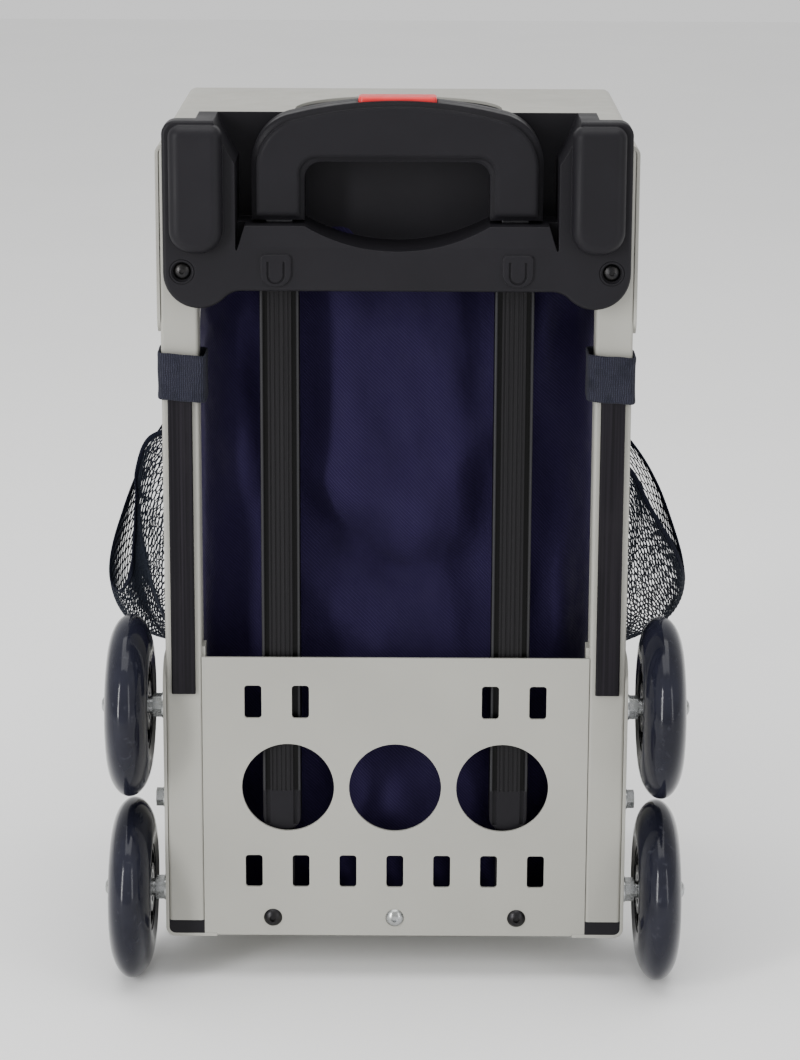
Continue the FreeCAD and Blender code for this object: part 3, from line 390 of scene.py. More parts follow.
# ---- mesh helpers --------------------------------------------------------
def piece(name, points, faces, materials, body, uvs=None, smooth=True, indices=None):
    """Mesh object from points in mm; uvs are one pair per face corner."""
    mesh = bpy.data.meshes.new(name)
    mesh.from_pydata([tuple(p) for p in metres(points)], [], [tuple(f) for f in faces])
    materials = materials if isinstance(materials, (list, tuple)) else [materials]
    for material in materials:
        mesh.materials.append(material)
    if indices is not None:
        mesh.polygons.foreach_set("material_index", np.array(indices, np.int32))
    if uvs is not None:
        layer = mesh.uv_layers.new(name="UVMap")
        layer.data.foreach_set("uv", np.array(uvs, np.float32).ravel())
    mesh.polygons.foreach_set("use_smooth", np.full(len(mesh.polygons), smooth))
    mesh.update()
    obj = bpy.data.objects.new(name, mesh)
    bpy.context.scene.collection.objects.link(obj)
    if body:
        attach(obj, body)
    return obj


def outward(obj):
    """Turn every face of a piece outwards."""
    work = bmesh.new()
    work.from_mesh(obj.data)
    bmesh.ops.recalc_face_normals(work, faces=work.faces)
    work.to_mesh(obj.data)
    work.free()
    return obj


def grid_faces(rows, columns, close_columns=False):
    """Faces of a grid of points listed row by row."""
    faces = []
    last = columns if close_columns else columns - 1
    for i in range(rows - 1):
        for j in range(last):
            k = (j + 1) % columns
            faces.append((i * columns + j, i * columns + k, (i + 1) * columns + k, (i + 1) * columns + j))
    return faces


def tube(name, path, radius, material, body, sides=8, closed=False, flat=1.0, up=None):
    """Round or flattened tube along a path of points in mm."""
    path = np.array(path, float)
    count = len(path)
    ahead = np.roll(path, -1, axis=0) if closed else np.vstack([path[1:], path[-1:]])
    behind = np.roll(path, 1, axis=0) if closed else np.vstack([path[:1], path[:-1]])
    along = ahead - behind
    along /= np.linalg.norm(along, axis=1)[:, None]
    across = np.array([1.0, 0.0, 0.0]) if up is None else np.array(up, float)
    if up is None and abs(along[0] @ across) > 0.9:
        across = np.array([0.0, 1.0, 0.0])
    points = []
    uvs = []
    for i in range(count):
        side = across - along[i] * (across @ along[i])
        side /= np.linalg.norm(side)
        if up is None:
            across = side
        other = np.cross(along[i], side)
        for k in range(sides):
            angle = 2 * math.pi * k / sides
            points.append(path[i] + side * math.cos(angle) * radius + other * math.sin(angle) * radius * flat)
    rows = count + 1 if closed else count
    grid = grid_faces(rows, sides, True)
    faces = [tuple(index % (count * sides) for index in face) for face in grid]
    if not closed:
        faces.append(tuple(range(sides))[::-1])
        faces.append(tuple(range((count - 1) * sides, count * sides)))
    for face in faces:
        for index in face:
            uvs.append((index % sides * 0.0006, index // sides * 0.002))
    return piece(name, points, faces, material, body, uvs)


def resample(path, step):
    """Points at even distances along a polyline."""
    path = np.array(path, float)
    lengths = np.linalg.norm(np.diff(path, axis=0), axis=1)
    total = np.concatenate([[0.0], np.cumsum(lengths)])
    count = max(2, int(round(total[-1] / step)) + 1)
    at = np.linspace(0.0, total[-1], count)
    return np.stack([np.interp(at, total, path[:, axis]) for axis in range(3)], axis=1)


def spline(points, count):
    """Smooth curve through points (Catmull-Rom), sampled evenly in its parameter."""
    p = np.array(points, float)
    p = np.vstack([2 * p[0] - p[1], p, 2 * p[-1] - p[-2]])
    spans = len(p) - 3
    out = []
    for s in np.linspace(0.0, spans - 1e-9, count):
        i = int(s)
        t = s - i
        a, b, c, d = p[i:i + 4]
        out.append(0.5 * ((2 * b) + (c - a) * t + (2 * a - 5 * b + 4 * c - d) * t * t
                          + (3 * b - a - 3 * c + d) * t ** 3))
    return np.array(out)


def wrinkle(point, scale, seed):
    """Smooth noise from -1 to 1 at a point in mm."""
    place = Vector((point[0] / scale[0], point[1] / scale[1], point[2] / scale[2]))
    return noise.noise(place + Vector((seed, 0, 0)))


def bar_faces(base, spans):
    """Faces of a closed four-sided bar whose sections start at point number base."""
    faces = []
    for row in range(spans):
        for k in range(4):
            m = (k + 1) % 4
            at = base + row * 4
            faces.append((at + k, at + m, at + 4 + m, at + 4 + k))
    end = base + spans * 4
    return faces + [(base, base + 3, base + 2, base + 1), (end, end + 1, end + 2, end + 3)]


def stitches(name, path, lift, material, body, length=2.6, gap=1.2, radius=0.28):
    """Row of short raised threads along a path."""
    path = np.array(path, float)
    lengths = np.concatenate([[0.0], np.cumsum(np.linalg.norm(np.diff(path, axis=0), axis=1))])
    lift = np.array(lift, float)
    points = []
    faces = []
    at = gap
    while at + length < lengths[-1]:
        ends = []
        for s in (at, at + length / 2, at + length):
            ends.append(np.array([np.interp(s, lengths, path[:, axis]) for axis in range(3)]))
        along = ends[2] - ends[0]
        along /= np.linalg.norm(along)
        side = np.cross(along, lift)
        side /= np.linalg.norm(side)
        base = len(points)
        for end, rise in zip(ends, (0.0, radius * 1.2, 0.0)):
            for dx, dz in ((-1, 0), (0, 1), (1, 0), (0, -1)):
                points.append(end + lift * rise + side * dx * radius + lift * dz * radius)
        faces += bar_faces(base, 2)
        at += length + gap
    return outward(piece(name, points, faces, material, body))


# ---- bag -----------------------------------------------------------------
def ease(value, start, end):
    """Smooth step from nothing at start to one at end."""
    t = min(max((value - start) / (end - start), 0.0), 1.0)
    return t * t * (3 - 2 * t)


def swell(y, z):
    """How far the bag's side stands out between the posts, mm."""
    return 12.5 * ease(y, 30, 70) * ease(-y, -240, -195) * ease(z, 110, 160) * ease(-z, -470, -430)


def bag_grid():
    """Rounded box of cloth, open at the front; returns points, faces, uvs and the outline."""
    low, high = mm("bag_body")
    low = low + 1.0
    high = high - 1.0
    xs = np.concatenate([np.linspace(low[0], -RIM_X, 4)[:-1], np.linspace(-RIM_X, RIM_X, 27),
                         np.linspace(RIM_X, high[0], 4)[1:]])
    zs = np.concatenate([np.linspace(low[2], RIM_LOW, 5)[:-1], np.linspace(RIM_LOW, RIM_HIGH, 55),
                         np.linspace(RIM_HIGH, high[2], 5)[1:]])
    ys = np.linspace(low[1], high[1], 32)
    radius = 13.0
    index = {}
    points = []

    def at(i, j, k):
        if (i, j, k) not in index:
            raw = np.array([xs[i], ys[j], zs[k]])
            core = np.clip(raw, low + radius, high - radius)
            away = raw - core
            size = np.linalg.norm(away)
            if size > 1e-6:
                away *= np.abs(away).max() / size
            index[(i, j, k)] = len(points)
            points.append(core + away)
        return index[(i, j, k)]

    faces = []
    uvs = []
    ni, nj, nk = len(xs) - 1, len(ys) - 1, len(zs) - 1

    def quad(corners, axes):
        faces.append([at(*c) for c in corners])
        for c in corners:
            raw = (xs[c[0]], ys[c[1]], zs[c[2]])
            uvs.append((raw[axes[0]] / 1000.0, raw[axes[1]] / 1000.0))

    for k in range(nk):
        for i in range(ni):
            quad([(i, 0, k), (i + 1, 0, k), (i + 1, 0, k + 1), (i, 0, k + 1)], (0, 2))
            inside = xs[i] >= -RIM_X - 0.1 and xs[i + 1] <= RIM_X + 0.1
            if not (inside and zs[k] >= RIM_LOW - 0.1 and zs[k + 1] <= RIM_HIGH + 0.1):
                quad([(i + 1, nj, k), (i, nj, k), (i, nj, k + 1), (i + 1, nj, k + 1)], (0, 2))
        for j in range(nj):
            quad([(0, j + 1, k), (0, j, k), (0, j, k + 1), (0, j + 1, k + 1)], (1, 2))
            quad([(ni, j, k), (ni, j + 1, k), (ni, j + 1, k + 1), (ni, j, k + 1)], (1, 2))
    for i in range(ni):
        for j in range(nj):
            quad([(i, j + 1, 0), (i + 1, j + 1, 0), (i + 1, j, 0), (i, j, 0)], (0, 1))
            quad([(i, j, nk), (i + 1, j, nk), (i + 1, j + 1, nk), (i, j + 1, nk)], (0, 1))
    edge = {"rear_top": [index[(i, 0, nk)] for i in range(ni + 1)],
            "front_top": [index[(i, nj, nk)] for i in range(ni + 1)],
            "front_left": [index[(0, nj, k)] for k in range(nk + 1)],
            "front_right": [index[(ni, nj, k)] for k in range(nk + 1)],
            "front_low": [index[(i, nj, 0)] for i in range(ni + 1)]}
    return np.array(points), faces, uvs, edge


def settle_cloth(points, faces, pins, frames, pressure, spare):
    """Run the cloth and return where its points come to rest, in mm."""
    mesh = bpy.data.meshes.new("settling")
    mesh.from_pydata([tuple(p) for p in metres(points)], [], [tuple(f) for f in faces])
    obj = bpy.data.objects.new("settling", mesh)
    bpy.context.scene.collection.objects.link(obj)
    group = obj.vertex_groups.new(name="pin")
    for index, weight in enumerate(pins):
        if weight > 0:
            group.add([index], float(weight), "REPLACE")
    cloth = obj.modifiers.new("cloth", "CLOTH")
    settings = cloth.settings
    settings.quality = 6
    settings.mass = 0.25
    settings.tension_stiffness = 25.0
    settings.compression_stiffness = 25.0
    settings.shear_stiffness = 8.0
    settings.bending_stiffness = 2.2
    settings.air_damping = 2.0
    settings.vertex_group_mass = "pin"
    settings.pin_stiffness = 1.0
    settings.shrink_min = -spare
    settings.use_pressure = pressure != 0
    settings.uniform_pressure_force = pressure
    cloth.collision_settings.use_collision = False
    cloth.collision_settings.use_self_collision = False
    cloth.point_cache.frame_start = 1
    cloth.point_cache.frame_end = frames
    scene = bpy.context.scene
    for step in range(1, frames + 1):
        scene.frame_set(step)
    depsgraph = bpy.context.evaluated_depsgraph_get()
    result = obj.evaluated_get(depsgraph).data
    co = np.zeros(len(result.vertices) * 3)
    result.vertices.foreach_get("co", co)
    co = co.reshape(-1, 3) * 1000.0
    co[:, 1] -= Y0
    scene.frame_set(1)
    bpy.data.objects.remove(obj)
    bpy.data.meshes.remove(mesh)
    return co


def limited(start, end, most):
    """Moves, kept under a distance."""
    move = end - start
    size = np.linalg.norm(move, axis=1)[:, None]
    return start + move * np.where(size > 1e-9, most * np.tanh(size / most) / np.maximum(size, 1e-9), 1.0)


CREASES = (  # lines of the handle-side panel: x, z at both ends, width, height
    ((-52, 300), (-2, 262), 9, -4.6), ((-2, 262), (34, 268), 11, -3.2), ((-46, 322), (10, 300), 15, 4.4),
    ((10, 300), (52, 352), 16, 3.8), ((-34, 470), (-20, 330), 17, 3.4), ((-10, 480), (22, 350), 20, -2.6),
    ((46, 440), (54, 330), 12, -3.4), ((-50, 256), (-12, 214), 13, 3.6), ((20, 246), (44, 150), 18, 3.6),
    ((-28, 196), (-50, 120), 15, -3.2), ((88, 440), (97, 250), 9, 4.2), ((99, 420), (90, 300), 8, -3.4),
    ((-96, 410), (-88, 320), 9, 4.2), ((-90, 300), (-99, 210), 10, -3.6), ((94, 250), (88, 120), 11, 3.6),
    ((10, 150), (40, 100), 14, -3.0), ((-8, 110), (-44, 70), 14, 3.0), ((24, 96), (56, 64), 12, 3.0))


def fold_height(x, z):
    """Height of the folds in the handle-side panel, mm."""
    total = 0.0
    for (x0, z0), (x1, z1), width, height in CREASES:
        length = math.hypot(x1 - x0, z1 - z0)
        ax, az = (x1 - x0) / length, (z1 - z0) / length
        along = (x - x0) * ax + (z - z0) * az
        across = (x - x0) * -az + (z - z0) * ax
        beyond = max(-along, along - length, 0.0)
        fall = 1.0 / (1.0 + (across / width) ** 2) ** 1.5
        total += height * fall * math.exp(-(beyond / (width * 2.2)) ** 2)
    ridge = 1.0 - 2.2 * abs(noise.noise(Vector((x / 34.0 + z / 160.0, z / 105.0, 3.1))))
    small = 1.0 - 2.2 * abs(noise.noise(Vector((x / 17.0 - z / 60.0, z / 44.0, 8.4))))
    return 2.0 * total + 4.2 * ridge + 1.6 * small - 1.0


def side_folds(y, z, seed):
    """Height of the folds in a side panel, mm."""
    ridge = 1.0 - 2.2 * abs(noise.noise(Vector((y / 40.0 + z / 170.0, z / 120.0, seed))))
    return 3.4 * ridge - 1.6


def build_bag():
    """Cloth shell: settled by simulation, then creased and held clear of the frame."""
    points, faces, uvs, edge = bag_grid()
    rest = points.copy()
    low, high = mm("bag_body")
    for index, p in enumerate(rest):
        if abs(p[0]) > 95 and low[1] + 14 < p[1] < high[1] - 14:
            points[index, 0] += math.copysign(1.6, p[0]) * wrinkle(p, (60, 45, 90), 3.7)
        if abs(p[0]) > 100:
            points[index, 0] += math.copysign(swell(p[1], p[2]), p[0])
    swollen = np.array([swell(p[1], p[2]) for p in rest])
    pins = np.zeros(len(rest))
    pins[rest[:, 1] > high[1] - 16] = 1.0
    pins[rest[:, 2] < low[2] + 6] = 1.0
    pins[rest[:, 2] > high[2] - 5] = 0.8
    held = (np.abs(rest[:, 0]) > 100) & (rest[:, 1] < low[1] + 16) & (np.abs(rest[:, 2] - 386) < 16)
    pins[held] = 0.9
    start = points.copy()
    points = limited(start, settle_cloth(points, faces, pins, SETTLE_FRAMES, 0.25, 0.022), 6.0)
    for index, (x, y, z) in enumerate(rest):
        if y < low[1] + 12:
            fade = min(1.0, max(0.0, (z - low[2] - 4) / 36.0), max(0.0, (high[2] - 6 - z) / 24.0),
                       max(0.0, (112 - abs(x)) / 8.0))
            crown = 4.0 * ease(-abs(x), -54, -34) * ease(z, 60, 150)
            points[index, 1] -= fade * (fold_height(x, z) + crown)
        elif abs(x) > 104 and y < high[1] - 12:
            fade = min(1.0, (y - low[1] - 12) / 20.0, (high[1] - 12 - y) / 20.0)
            fade *= min(1.0, max(0.0, (z - low[2] - 8) / 40.0), max(0.0, (high[2] - 8 - z) / 30.0))
            points[index, 0] += math.copysign(fade * side_folds(y, z, 2.0 * x), x)
    points[:, 0] = np.clip(points[:, 0], low[0] - 2.2 - swollen, high[0] + 2.2 + swollen)
    off = np.abs(points[:, 0])
    nearest = np.where(off < 54, 15.0, np.where(off < 86, 24.2, np.where(off < 110, 19.0, 26.0)))
    points[:, 1] = np.maximum(points[:, 1], nearest)
    points[:, 1] = np.minimum(points[:, 1], high[1] - 0.3)
    shell = piece("bag_shell", points, faces, [NAVY_FABRIC, LINING], "frame", uvs)
    outward(shell)
    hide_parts("bag_body")
    wall = shell.modifiers.new("wall", "SOLIDIFY")
    wall.thickness = 0.0014
    wall.offset = -1.0
    wall.material_offset = 1
    smooth = shell.modifiers.new("smooth", "SUBSURF")
    smooth.levels = smooth.render_levels = 1
    for side in ("front_left", "front_right"):
        path = points[edge[side]][1:-1]
        tube("bag_piping_" + side, resample(path, 6.0), 1.5, BINDING, "frame")
    for side in ("rear_top", "front_top", "front_low"):
        path = points[edge[side]][1:-1]
        tube("bag_piping_" + side, resample(path, 6.0), 1.5, BINDING, "frame")


# ---- front flap ----------------------------------------------------------
def cushion(name, x_half, z_low, z_high, corner, y_back, y_front, crown, seed, material, body, step=6.0,
            ripple=0.6):
    """Closed pad on a rounded rectangle: flat behind, crowned and slightly rippled in front."""
    z_mid, z_half = (z_low + z_high) / 2, (z_high - z_low) / 2
    nx, nz = int(2 * x_half / step), int(2 * z_half / step)
    edge_round = min(2.2, (y_front - y_back) * 0.6)
    front, back = [], []
    uv_of = []
    for k in range(nz + 1):
        for i in range(nx + 1):
            u, v = -1 + 2 * i / nx, -1 + 2 * k / nz
            x, z = u * x_half, v * z_half
            dx, dz = abs(x) - (x_half - corner), abs(z) - (z_half - corner)
            if dx > 0 and dz > 0:
                scale = max(dx, dz) / math.hypot(dx, dz)
                x = math.copysign(x_half - corner + dx * scale, x)
                z = math.copysign(z_half - corner + dz * scale, z)
            inset = min(1 - abs(u), 1 - abs(v))
            dome = (1 - u * u) * (1 - v * v)
            fall = max(0.0, 1 - inset * min(x_half, z_half) / 7.0) ** 2
            rise = crown * dome ** 0.5 - edge_round * fall
            rise += ripple * wrinkle((x, z, 0), (34, 60, 1), seed) * min(1.0, inset * 6)
            front.append((x, y_front - crown + rise, z_mid + z))
            back.append((x, y_back, z_mid + z))
            uv_of.append((x / 1000, z / 1000))
    count = (nx + 1) * (nz + 1)
    faces = grid_faces(nz + 1, nx + 1)
    faces += [tuple(index + count for index in face[::-1]) for face in grid_faces(nz + 1, nx + 1)]
    ring = [i for i in range(nx + 1)] + [k * (nx + 1) + nx for k in range(1, nz + 1)]
    ring += [nz * (nx + 1) + i for i in range(nx - 1, -1, -1)] + [k * (nx + 1) for k in range(nz - 1, 0, -1)]
    for a, b in zip(ring, ring[1:] + ring[:1]):
        faces.append((a, b, b + count, a + count))
    uvs = [uv_of[index % count] for face in faces for index in face]
    return outward(piece(name, front + back, faces, material, body, uvs))


def rounded_path(x_half, z_low, z_high, corner, y, bottom=True):
    """Line round a rounded rectangle in the XZ plane, starting low on the left."""
    points = []
    if bottom:
        points.append((0.0, y, z_low))
    for side, ends in ((-1, (z_low, z_high)), (1, (z_high, z_low))):
        for z in ends:
            if z == z_low and not bottom:
                points.append((side * x_half, y, z_low))
                continue
            cz = z + corner if z == z_low else z - corner
            for step in range(7):
                if side < 0:
                    angle = math.radians(270 - step * 15) if z == z_low else math.radians(180 - step * 15)
                else:
                    angle = math.radians(90 - step * 15) if z == z_high else math.radians(0 - step * 15)
                points.append((side * (x_half - corner) + corner * math.cos(angle), y,
                               cz + corner * math.sin(angle)))
    return points


def build_flap():
    """Front panel of the bag with its outside pocket."""
    low, high = mm("front_flap")
    panel_front = high[1] - 5.0
    panel = cushion("flap_panel", high[0], low[2], high[2], 14.0, low[1], panel_front, 0.0, 5.1, NAVY_FABRIC,
                    "flap", ripple=0.45)
    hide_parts("front_flap")
    pocket = cushion("flap_pocket", 87.0, 86.0, 328.0, 11.0, panel_front - 0.9, high[1] - 0.5, 2.6, 9.3,
                     NAVY_FABRIC, "flap", ripple=1.3)
    around = rounded_path(high[0] - 1.6, low[2] + 1.6, high[2] - 1.6, 12.4, panel_front - 0.8)
    tube("flap_binding", resample(around + around[:1], 5.0)[:-1], 2.0, BINDING, "flap",
         closed=True, flat=0.75, up=(0, 1, 0))
    seam = rounded_path(high[0] - 6.5, low[2] + 6.5, high[2] - 6.5, 9.0, panel_front + 0.05)
    inner = rounded_path(83.0, 90.0, 318.0, 8.0, high[1] - 3.6)
    for name, path in (("flap_stitch", seam), ("pocket_stitch", inner)):
        stitches(name, resample(path + path[:1], 4.0), (0, 1, 0), STITCH, "flap")
    zip_line = [(-80.0, high[1] - 1.4, 309.0), (80.0, high[1] - 1.4, 309.0)]
    zip_chain("pocket_zip_coil", zip_line, (0, 1, 0), "flap", 0)
    zip_chain("pocket_zip_coil_low", zip_line, (0, 1, 0), "flap", 1)


def zip_chain(name, path, lift, body, half):
    """One half of a coil zip: a tooth every other step, reaching over from its own side."""
    path = resample(path, 0.8)
    lift = np.array(lift, float)
    points = []
    faces = []
    for index in range(half, len(path) - 1, 2):
        along = path[index + 1] - path[index]
        along /= np.linalg.norm(along)
        side = np.cross(along, lift) * (1 if half else -1)
        base = len(points)
        for reach, rise, wide in ((-0.7, 0.55, 0.30), (0.2, 0.95, 0.36), (1.9, 0.8, 0.34), (2.5, 0.1, 0.30)):
            centre = path[index] + side * reach
            points.append(centre - along * wide)
            points.append(centre + lift * rise - along * wide * 0.6)
            points.append(centre + lift * rise + along * wide * 0.6)
            points.append(centre + along * wide)
        faces += bar_faces(base, 3)
    return outward(piece(name, points, faces, ZIP_COIL, body))


def ribbon(name, path, across, width, thick, material, body, slot, wave=0.0, seed=0.0):
    """Flat tape along a path; across gives its width direction at each point."""
    path = np.array(path, float)
    across = np.array(across, float)
    if across.ndim == 1:
        across = np.tile(across, (len(path), 1))
    along = np.gradient(path, axis=0)
    along /= np.linalg.norm(along, axis=1)[:, None]
    across = across - along * (across * along).sum(1)[:, None]
    across /= np.linalg.norm(across, axis=1)[:, None]
    normal = np.cross(along, across)
    lengths = np.concatenate([[0.0], np.cumsum(np.linalg.norm(np.diff(path, axis=0), axis=1))])
    section = [(a, -0.5) for a in (-0.5, -0.25, 0.25, 0.5)] + [(a, 0.5) for a in (0.5, 0.25, -0.25, -0.5)]
    points = []
    for i, centre in enumerate(path):
        lift = wave * noise.noise(Vector((lengths[i] / 14.0, seed, 0)))
        for a, b in section:
            soft = 0.75 if abs(a) == 0.5 else 1.0
            points.append(centre + across[i] * a * width + normal[i] * (b * thick * soft + lift))
    faces = grid_faces(len(path), 8, True)
    uvs = []
    for face in faces:
        for index in face:
            uvs.append((section[index % 8][0] * width / 1000.0, lengths[index // 8] / 1000.0))
    for cap in (tuple(range(8))[::-1], tuple(range((len(path) - 1) * 8, len(path) * 8))):
        faces.append(cap)
        uvs += [(section[index % 8][0] * width / 1000.0, 0.0) for index in cap]
    return outward(piece(name, points, faces, material, body, uvs))


def build_zips():
    """Zip round three sides of the flap, with a slider on each upright."""
    flap_low, flap_high = mm("front_flap")
    slider_low, slider_high = mm("zip_slider_right")
    x = (slider_low[0] + slider_high[0]) / 2
    y = mm("bag_body")[1][1] + 0.9
    top = flap_high[2] + (x - flap_high[0])
    line_of = resample(rounded_path(x, flap_low[2] + 6, top, 17.0, y, bottom=False), 3.0)
    zip_chain("zip_coil_bag", line_of, (0, 1, 0), "frame", 0)
    zip_chain("zip_coil_flap", line_of, (0, 1, 0), "flap", 1)
    outer = resample(rounded_path(x + 3.6, flap_low[2] + 6, top + 3.6, 20.0, y - 0.5, bottom=False), 3.0)
    inner = resample(rounded_path(x - 3.2, flap_low[2] + 6, top - 3.2, 14.0, y - 0.4, bottom=False), 3.0)

    def inwards(path):
        along = np.gradient(path, axis=0)
        return np.cross(along, np.array([0.0, 1.0, 0.0]))

    ribbon("zip_tape_bag", outer, inwards(outer), 5.6, 0.6, BINDING, "frame", "navy_fabric")
    ribbon("zip_tape_flap", inner, inwards(inner), 5.4, 0.6, BINDING, "flap", "navy_fabric")
    for name, _ in SIDES:
        build_slider(name)


def build_slider(name):
    """Zip slider with its bridge and a rounded pull."""
    low, high = mm("zip_slider_" + name)
    x = (low[0] + high[0]) / 2
    body = []
    faces = []
    rows = ((0.0, 2.2), (2.2, 2.8), (6.5, 2.4), (10.0, 1.7))
    for drop, half in rows:
        z = high[2] - drop
        for dx, dy in ((-1, 0.35), (-0.7, 1.0), (0.7, 1.0), (1, 0.35), (1, 0.0), (-1, 0.0)):
            body.append((x + dx * half, low[1] + 0.1 + dy * 2.9, z))
    faces += grid_faces(4, 6, True)
    faces += [tuple(range(6)), tuple(range(18, 24))[::-1]]
    slider = outward(piece("zip_slider_body_" + name, body, faces, ZIP_METAL, "slider_" + name))
    soften = slider.modifiers.new("soften", "BEVEL")
    soften.width = 0.0003
    soften.segments = 2
    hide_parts("zip_slider_" + name)
    tube("zip_bridge_" + name, spline([(x, low[1] + 2.8, high[2] - 1.6), (x, high[1] - 0.2, high[2] - 2.6),
                                       (x, high[1] - 0.2, high[2] - 6.0), (x, low[1] + 2.6, high[2] - 7.2)], 12),
         0.5, ZIP_METAL, "slider_" + name)
    tab = []
    outline = rounded_path(2.1, low[2] + 0.6, high[2] - 5.0, 1.6, 0.0)[1:]
    tab_y = (high[1] - 0.95, high[1] - 0.15)
    count = len(outline)
    for y in tab_y:
        tab += [(x + p[0], y, p[2]) for p in outline]
    faces = [tuple(range(count)), tuple(range(count, 2 * count))[::-1]]
    faces += [(k, (k + 1) % count, count + (k + 1) % count, count + k) for k in range(count)]
    pull = outward(piece("zip_pull_" + name, tab, faces, ZIP_METAL, "slider_" + name,
                         smooth=False))
    soften = pull.modifiers.new("soften", "BEVEL")
    soften.width = 0.0002
    soften.segments = 2


# ---- mesh pockets --------------------------------------------------------
HEMS = {  # outer edge of each pocket from its handle-side end to its front end: |x|, y, z
    "left": [(130.0, 80, 336), (138, 83, 335), (156, 88, 327), (164, 92, 305), (165.5, 97, 280), (167.5, 103, 255),
             (171, 110, 232), (180, 122, 218), (187, 138, 222), (187.5, 156, 236), (182, 178, 256),
             (174, 200, 277), (163, 220, 298), (144, 232, 322), (119.0, 236, 338)],
    "right": [(130.0, 80, 325), (134, 82, 321), (148, 86, 307), (157, 92, 289), (165, 99, 274), (173, 107, 260),
              (180, 117, 246), (185, 129, 231), (188, 144, 222), (187, 160, 234), (181, 180, 253),
              (174, 200, 270), (163, 220, 287), (144, 232, 308), (119.0, 236, 330)]}


def pocket_point(hem, t, v, seed):
    """Point of the net at t along the hem and v from the bottom seam to the hem."""
    spot = t * (len(hem) - 1)
    i = min(int(spot), len(hem) - 2)
    top = hem[i] + (hem[i + 1] - hem[i]) * (spot - i)
    reach = max(top[0] - 130.0, 0.0)
    base = np.array([0.0, 92.0 + 136.0 * t, 172.0 + 14.0 * (2 * t - 1) ** 2])
    base[0] = 117.0 + swell(base[1], 236.0)
    low = np.array([base[0] + 0.55 * reach, base[1] * 0.8 + top[1] * 0.2, base[2] - 0.02 * reach])
    up = np.array([base[0] + 1.02 * reach, base[1] * 0.25 + top[1] * 0.75, top[2] - 0.42 * reach - 8])
    a, b, c, d = (1 - v) ** 3, 3 * v * (1 - v) ** 2, 3 * v * v * (1 - v), v ** 3
    p = a * base + b * low + c * up + d * top
    gather = (1 - v) ** 1.2 * v ** 0.3 * min(1.0, reach / 20.0)
    p[0] += 2.6 * gather * math.sin(t * 41.0 + seed)
    p[1] += 2.0 * gather * math.sin(t * 29.0 + seed * 2)
    p[0] += 1.5 * v * (1 - v) * 4 * math.sin(t * 13.0 + seed) * min(1.0, reach / 30.0)
    return p


def build_pocket(name, side):
    """Side net of six-sided cells, with its hem and seam tapes."""
    hem = spline(HEMS[name], 160)
    seed = 1.3 if side > 0 else 4.1
    columns, rows = 46, 48
    index = {}
    points = []

    def corner(a, b):
        key = (round(a * 6), round(b * 6))
        if key not in index:
            jitter = 0.22
            u = (a + jitter * noise.noise(Vector((a * 1.7, b * 1.7, seed)))) / columns
            t = u - 0.3 * math.sin(2 * math.pi * u) / (2 * math.pi)
            v = (b + jitter * noise.noise(Vector((a * 1.7, b * 1.7, seed + 9)))) / rows
            p = pocket_point(hem, min(max(t, 0.0), 1.0), min(max(v, 0.0), 1.0), seed)
            index[key] = len(points)
            points.append((side * p[0], p[1], p[2]))
        return index[key]

    faces = []
    for row in range(rows - 1):
        for column in range(columns):
            a = column + (0.5 if row % 2 else 0.0)
            b = row + 0.5
            if a > columns - 0.4:
                continue
            ring = [(a, b + 2 / 3), (a + 0.5, b + 1 / 3), (a + 0.5, b - 1 / 3),
                    (a, b - 2 / 3), (a - 0.5, b - 1 / 3), (a - 0.5, b + 1 / 3)]
            faces.append([corner(x, z) for x, z in ring])
    net = piece("pocket_net_" + name, points, faces, NET_THREAD, "frame")
    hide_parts("mesh_pocket_" + name)
    wire = net.modifiers.new("threads", "WIREFRAME")
    wire.thickness = THREAD
    wire.use_even_offset = False
    wire.use_replace = True
    wire.use_boundary = True
    tape = (BINDING, "frame", "navy_mesh")
    edge = []
    down = []
    for t in np.linspace(0.0, 1.0, 110):
        p = pocket_point(hem, t, 0.985, seed)
        q = pocket_point(hem, t, 0.93, seed)
        edge.append((side * p[0], p[1], p[2]))
        down.append(((p - q) * np.array([side, 1, 1])))
    near = 52 if side < 0 else 62
    ribbon("pocket_hem_" + name, edge[:near], down[:near], 2.8, 1.2, *tape, 0.35, seed)
    ribbon("pocket_edge_" + name, edge[near - 1:], down[near - 1:], 1.5 + 0.35 * side, 1.1, *tape, 0.1, seed)
    ends = []
    for t in (0.0, 1.0):
        line_of = [pocket_point(hem, t, v, seed) for v in np.linspace(0.0, 1.0, 30)]
        ends.append([(side * (p[0] - 0.6), p[1], p[2]) for p in line_of])
    bottom = [pocket_point(hem, t, 0.0, seed) for t in np.linspace(0.0, 1.0, 60)]
    bottom = [(side * (p[0] - 0.6), p[1], p[2]) for p in bottom]
    ribbon("pocket_seam_rear_" + name, ends[0], (0, 1, 0), 7.0, 1.2, *tape)
    ribbon("pocket_seam_front_" + name, ends[1], (0, 1, 0), 7.0, 1.2, *tape)
    ribbon("pocket_seam_low_" + name, bottom, (0, 0, 1), 7.0, 1.2, *tape)


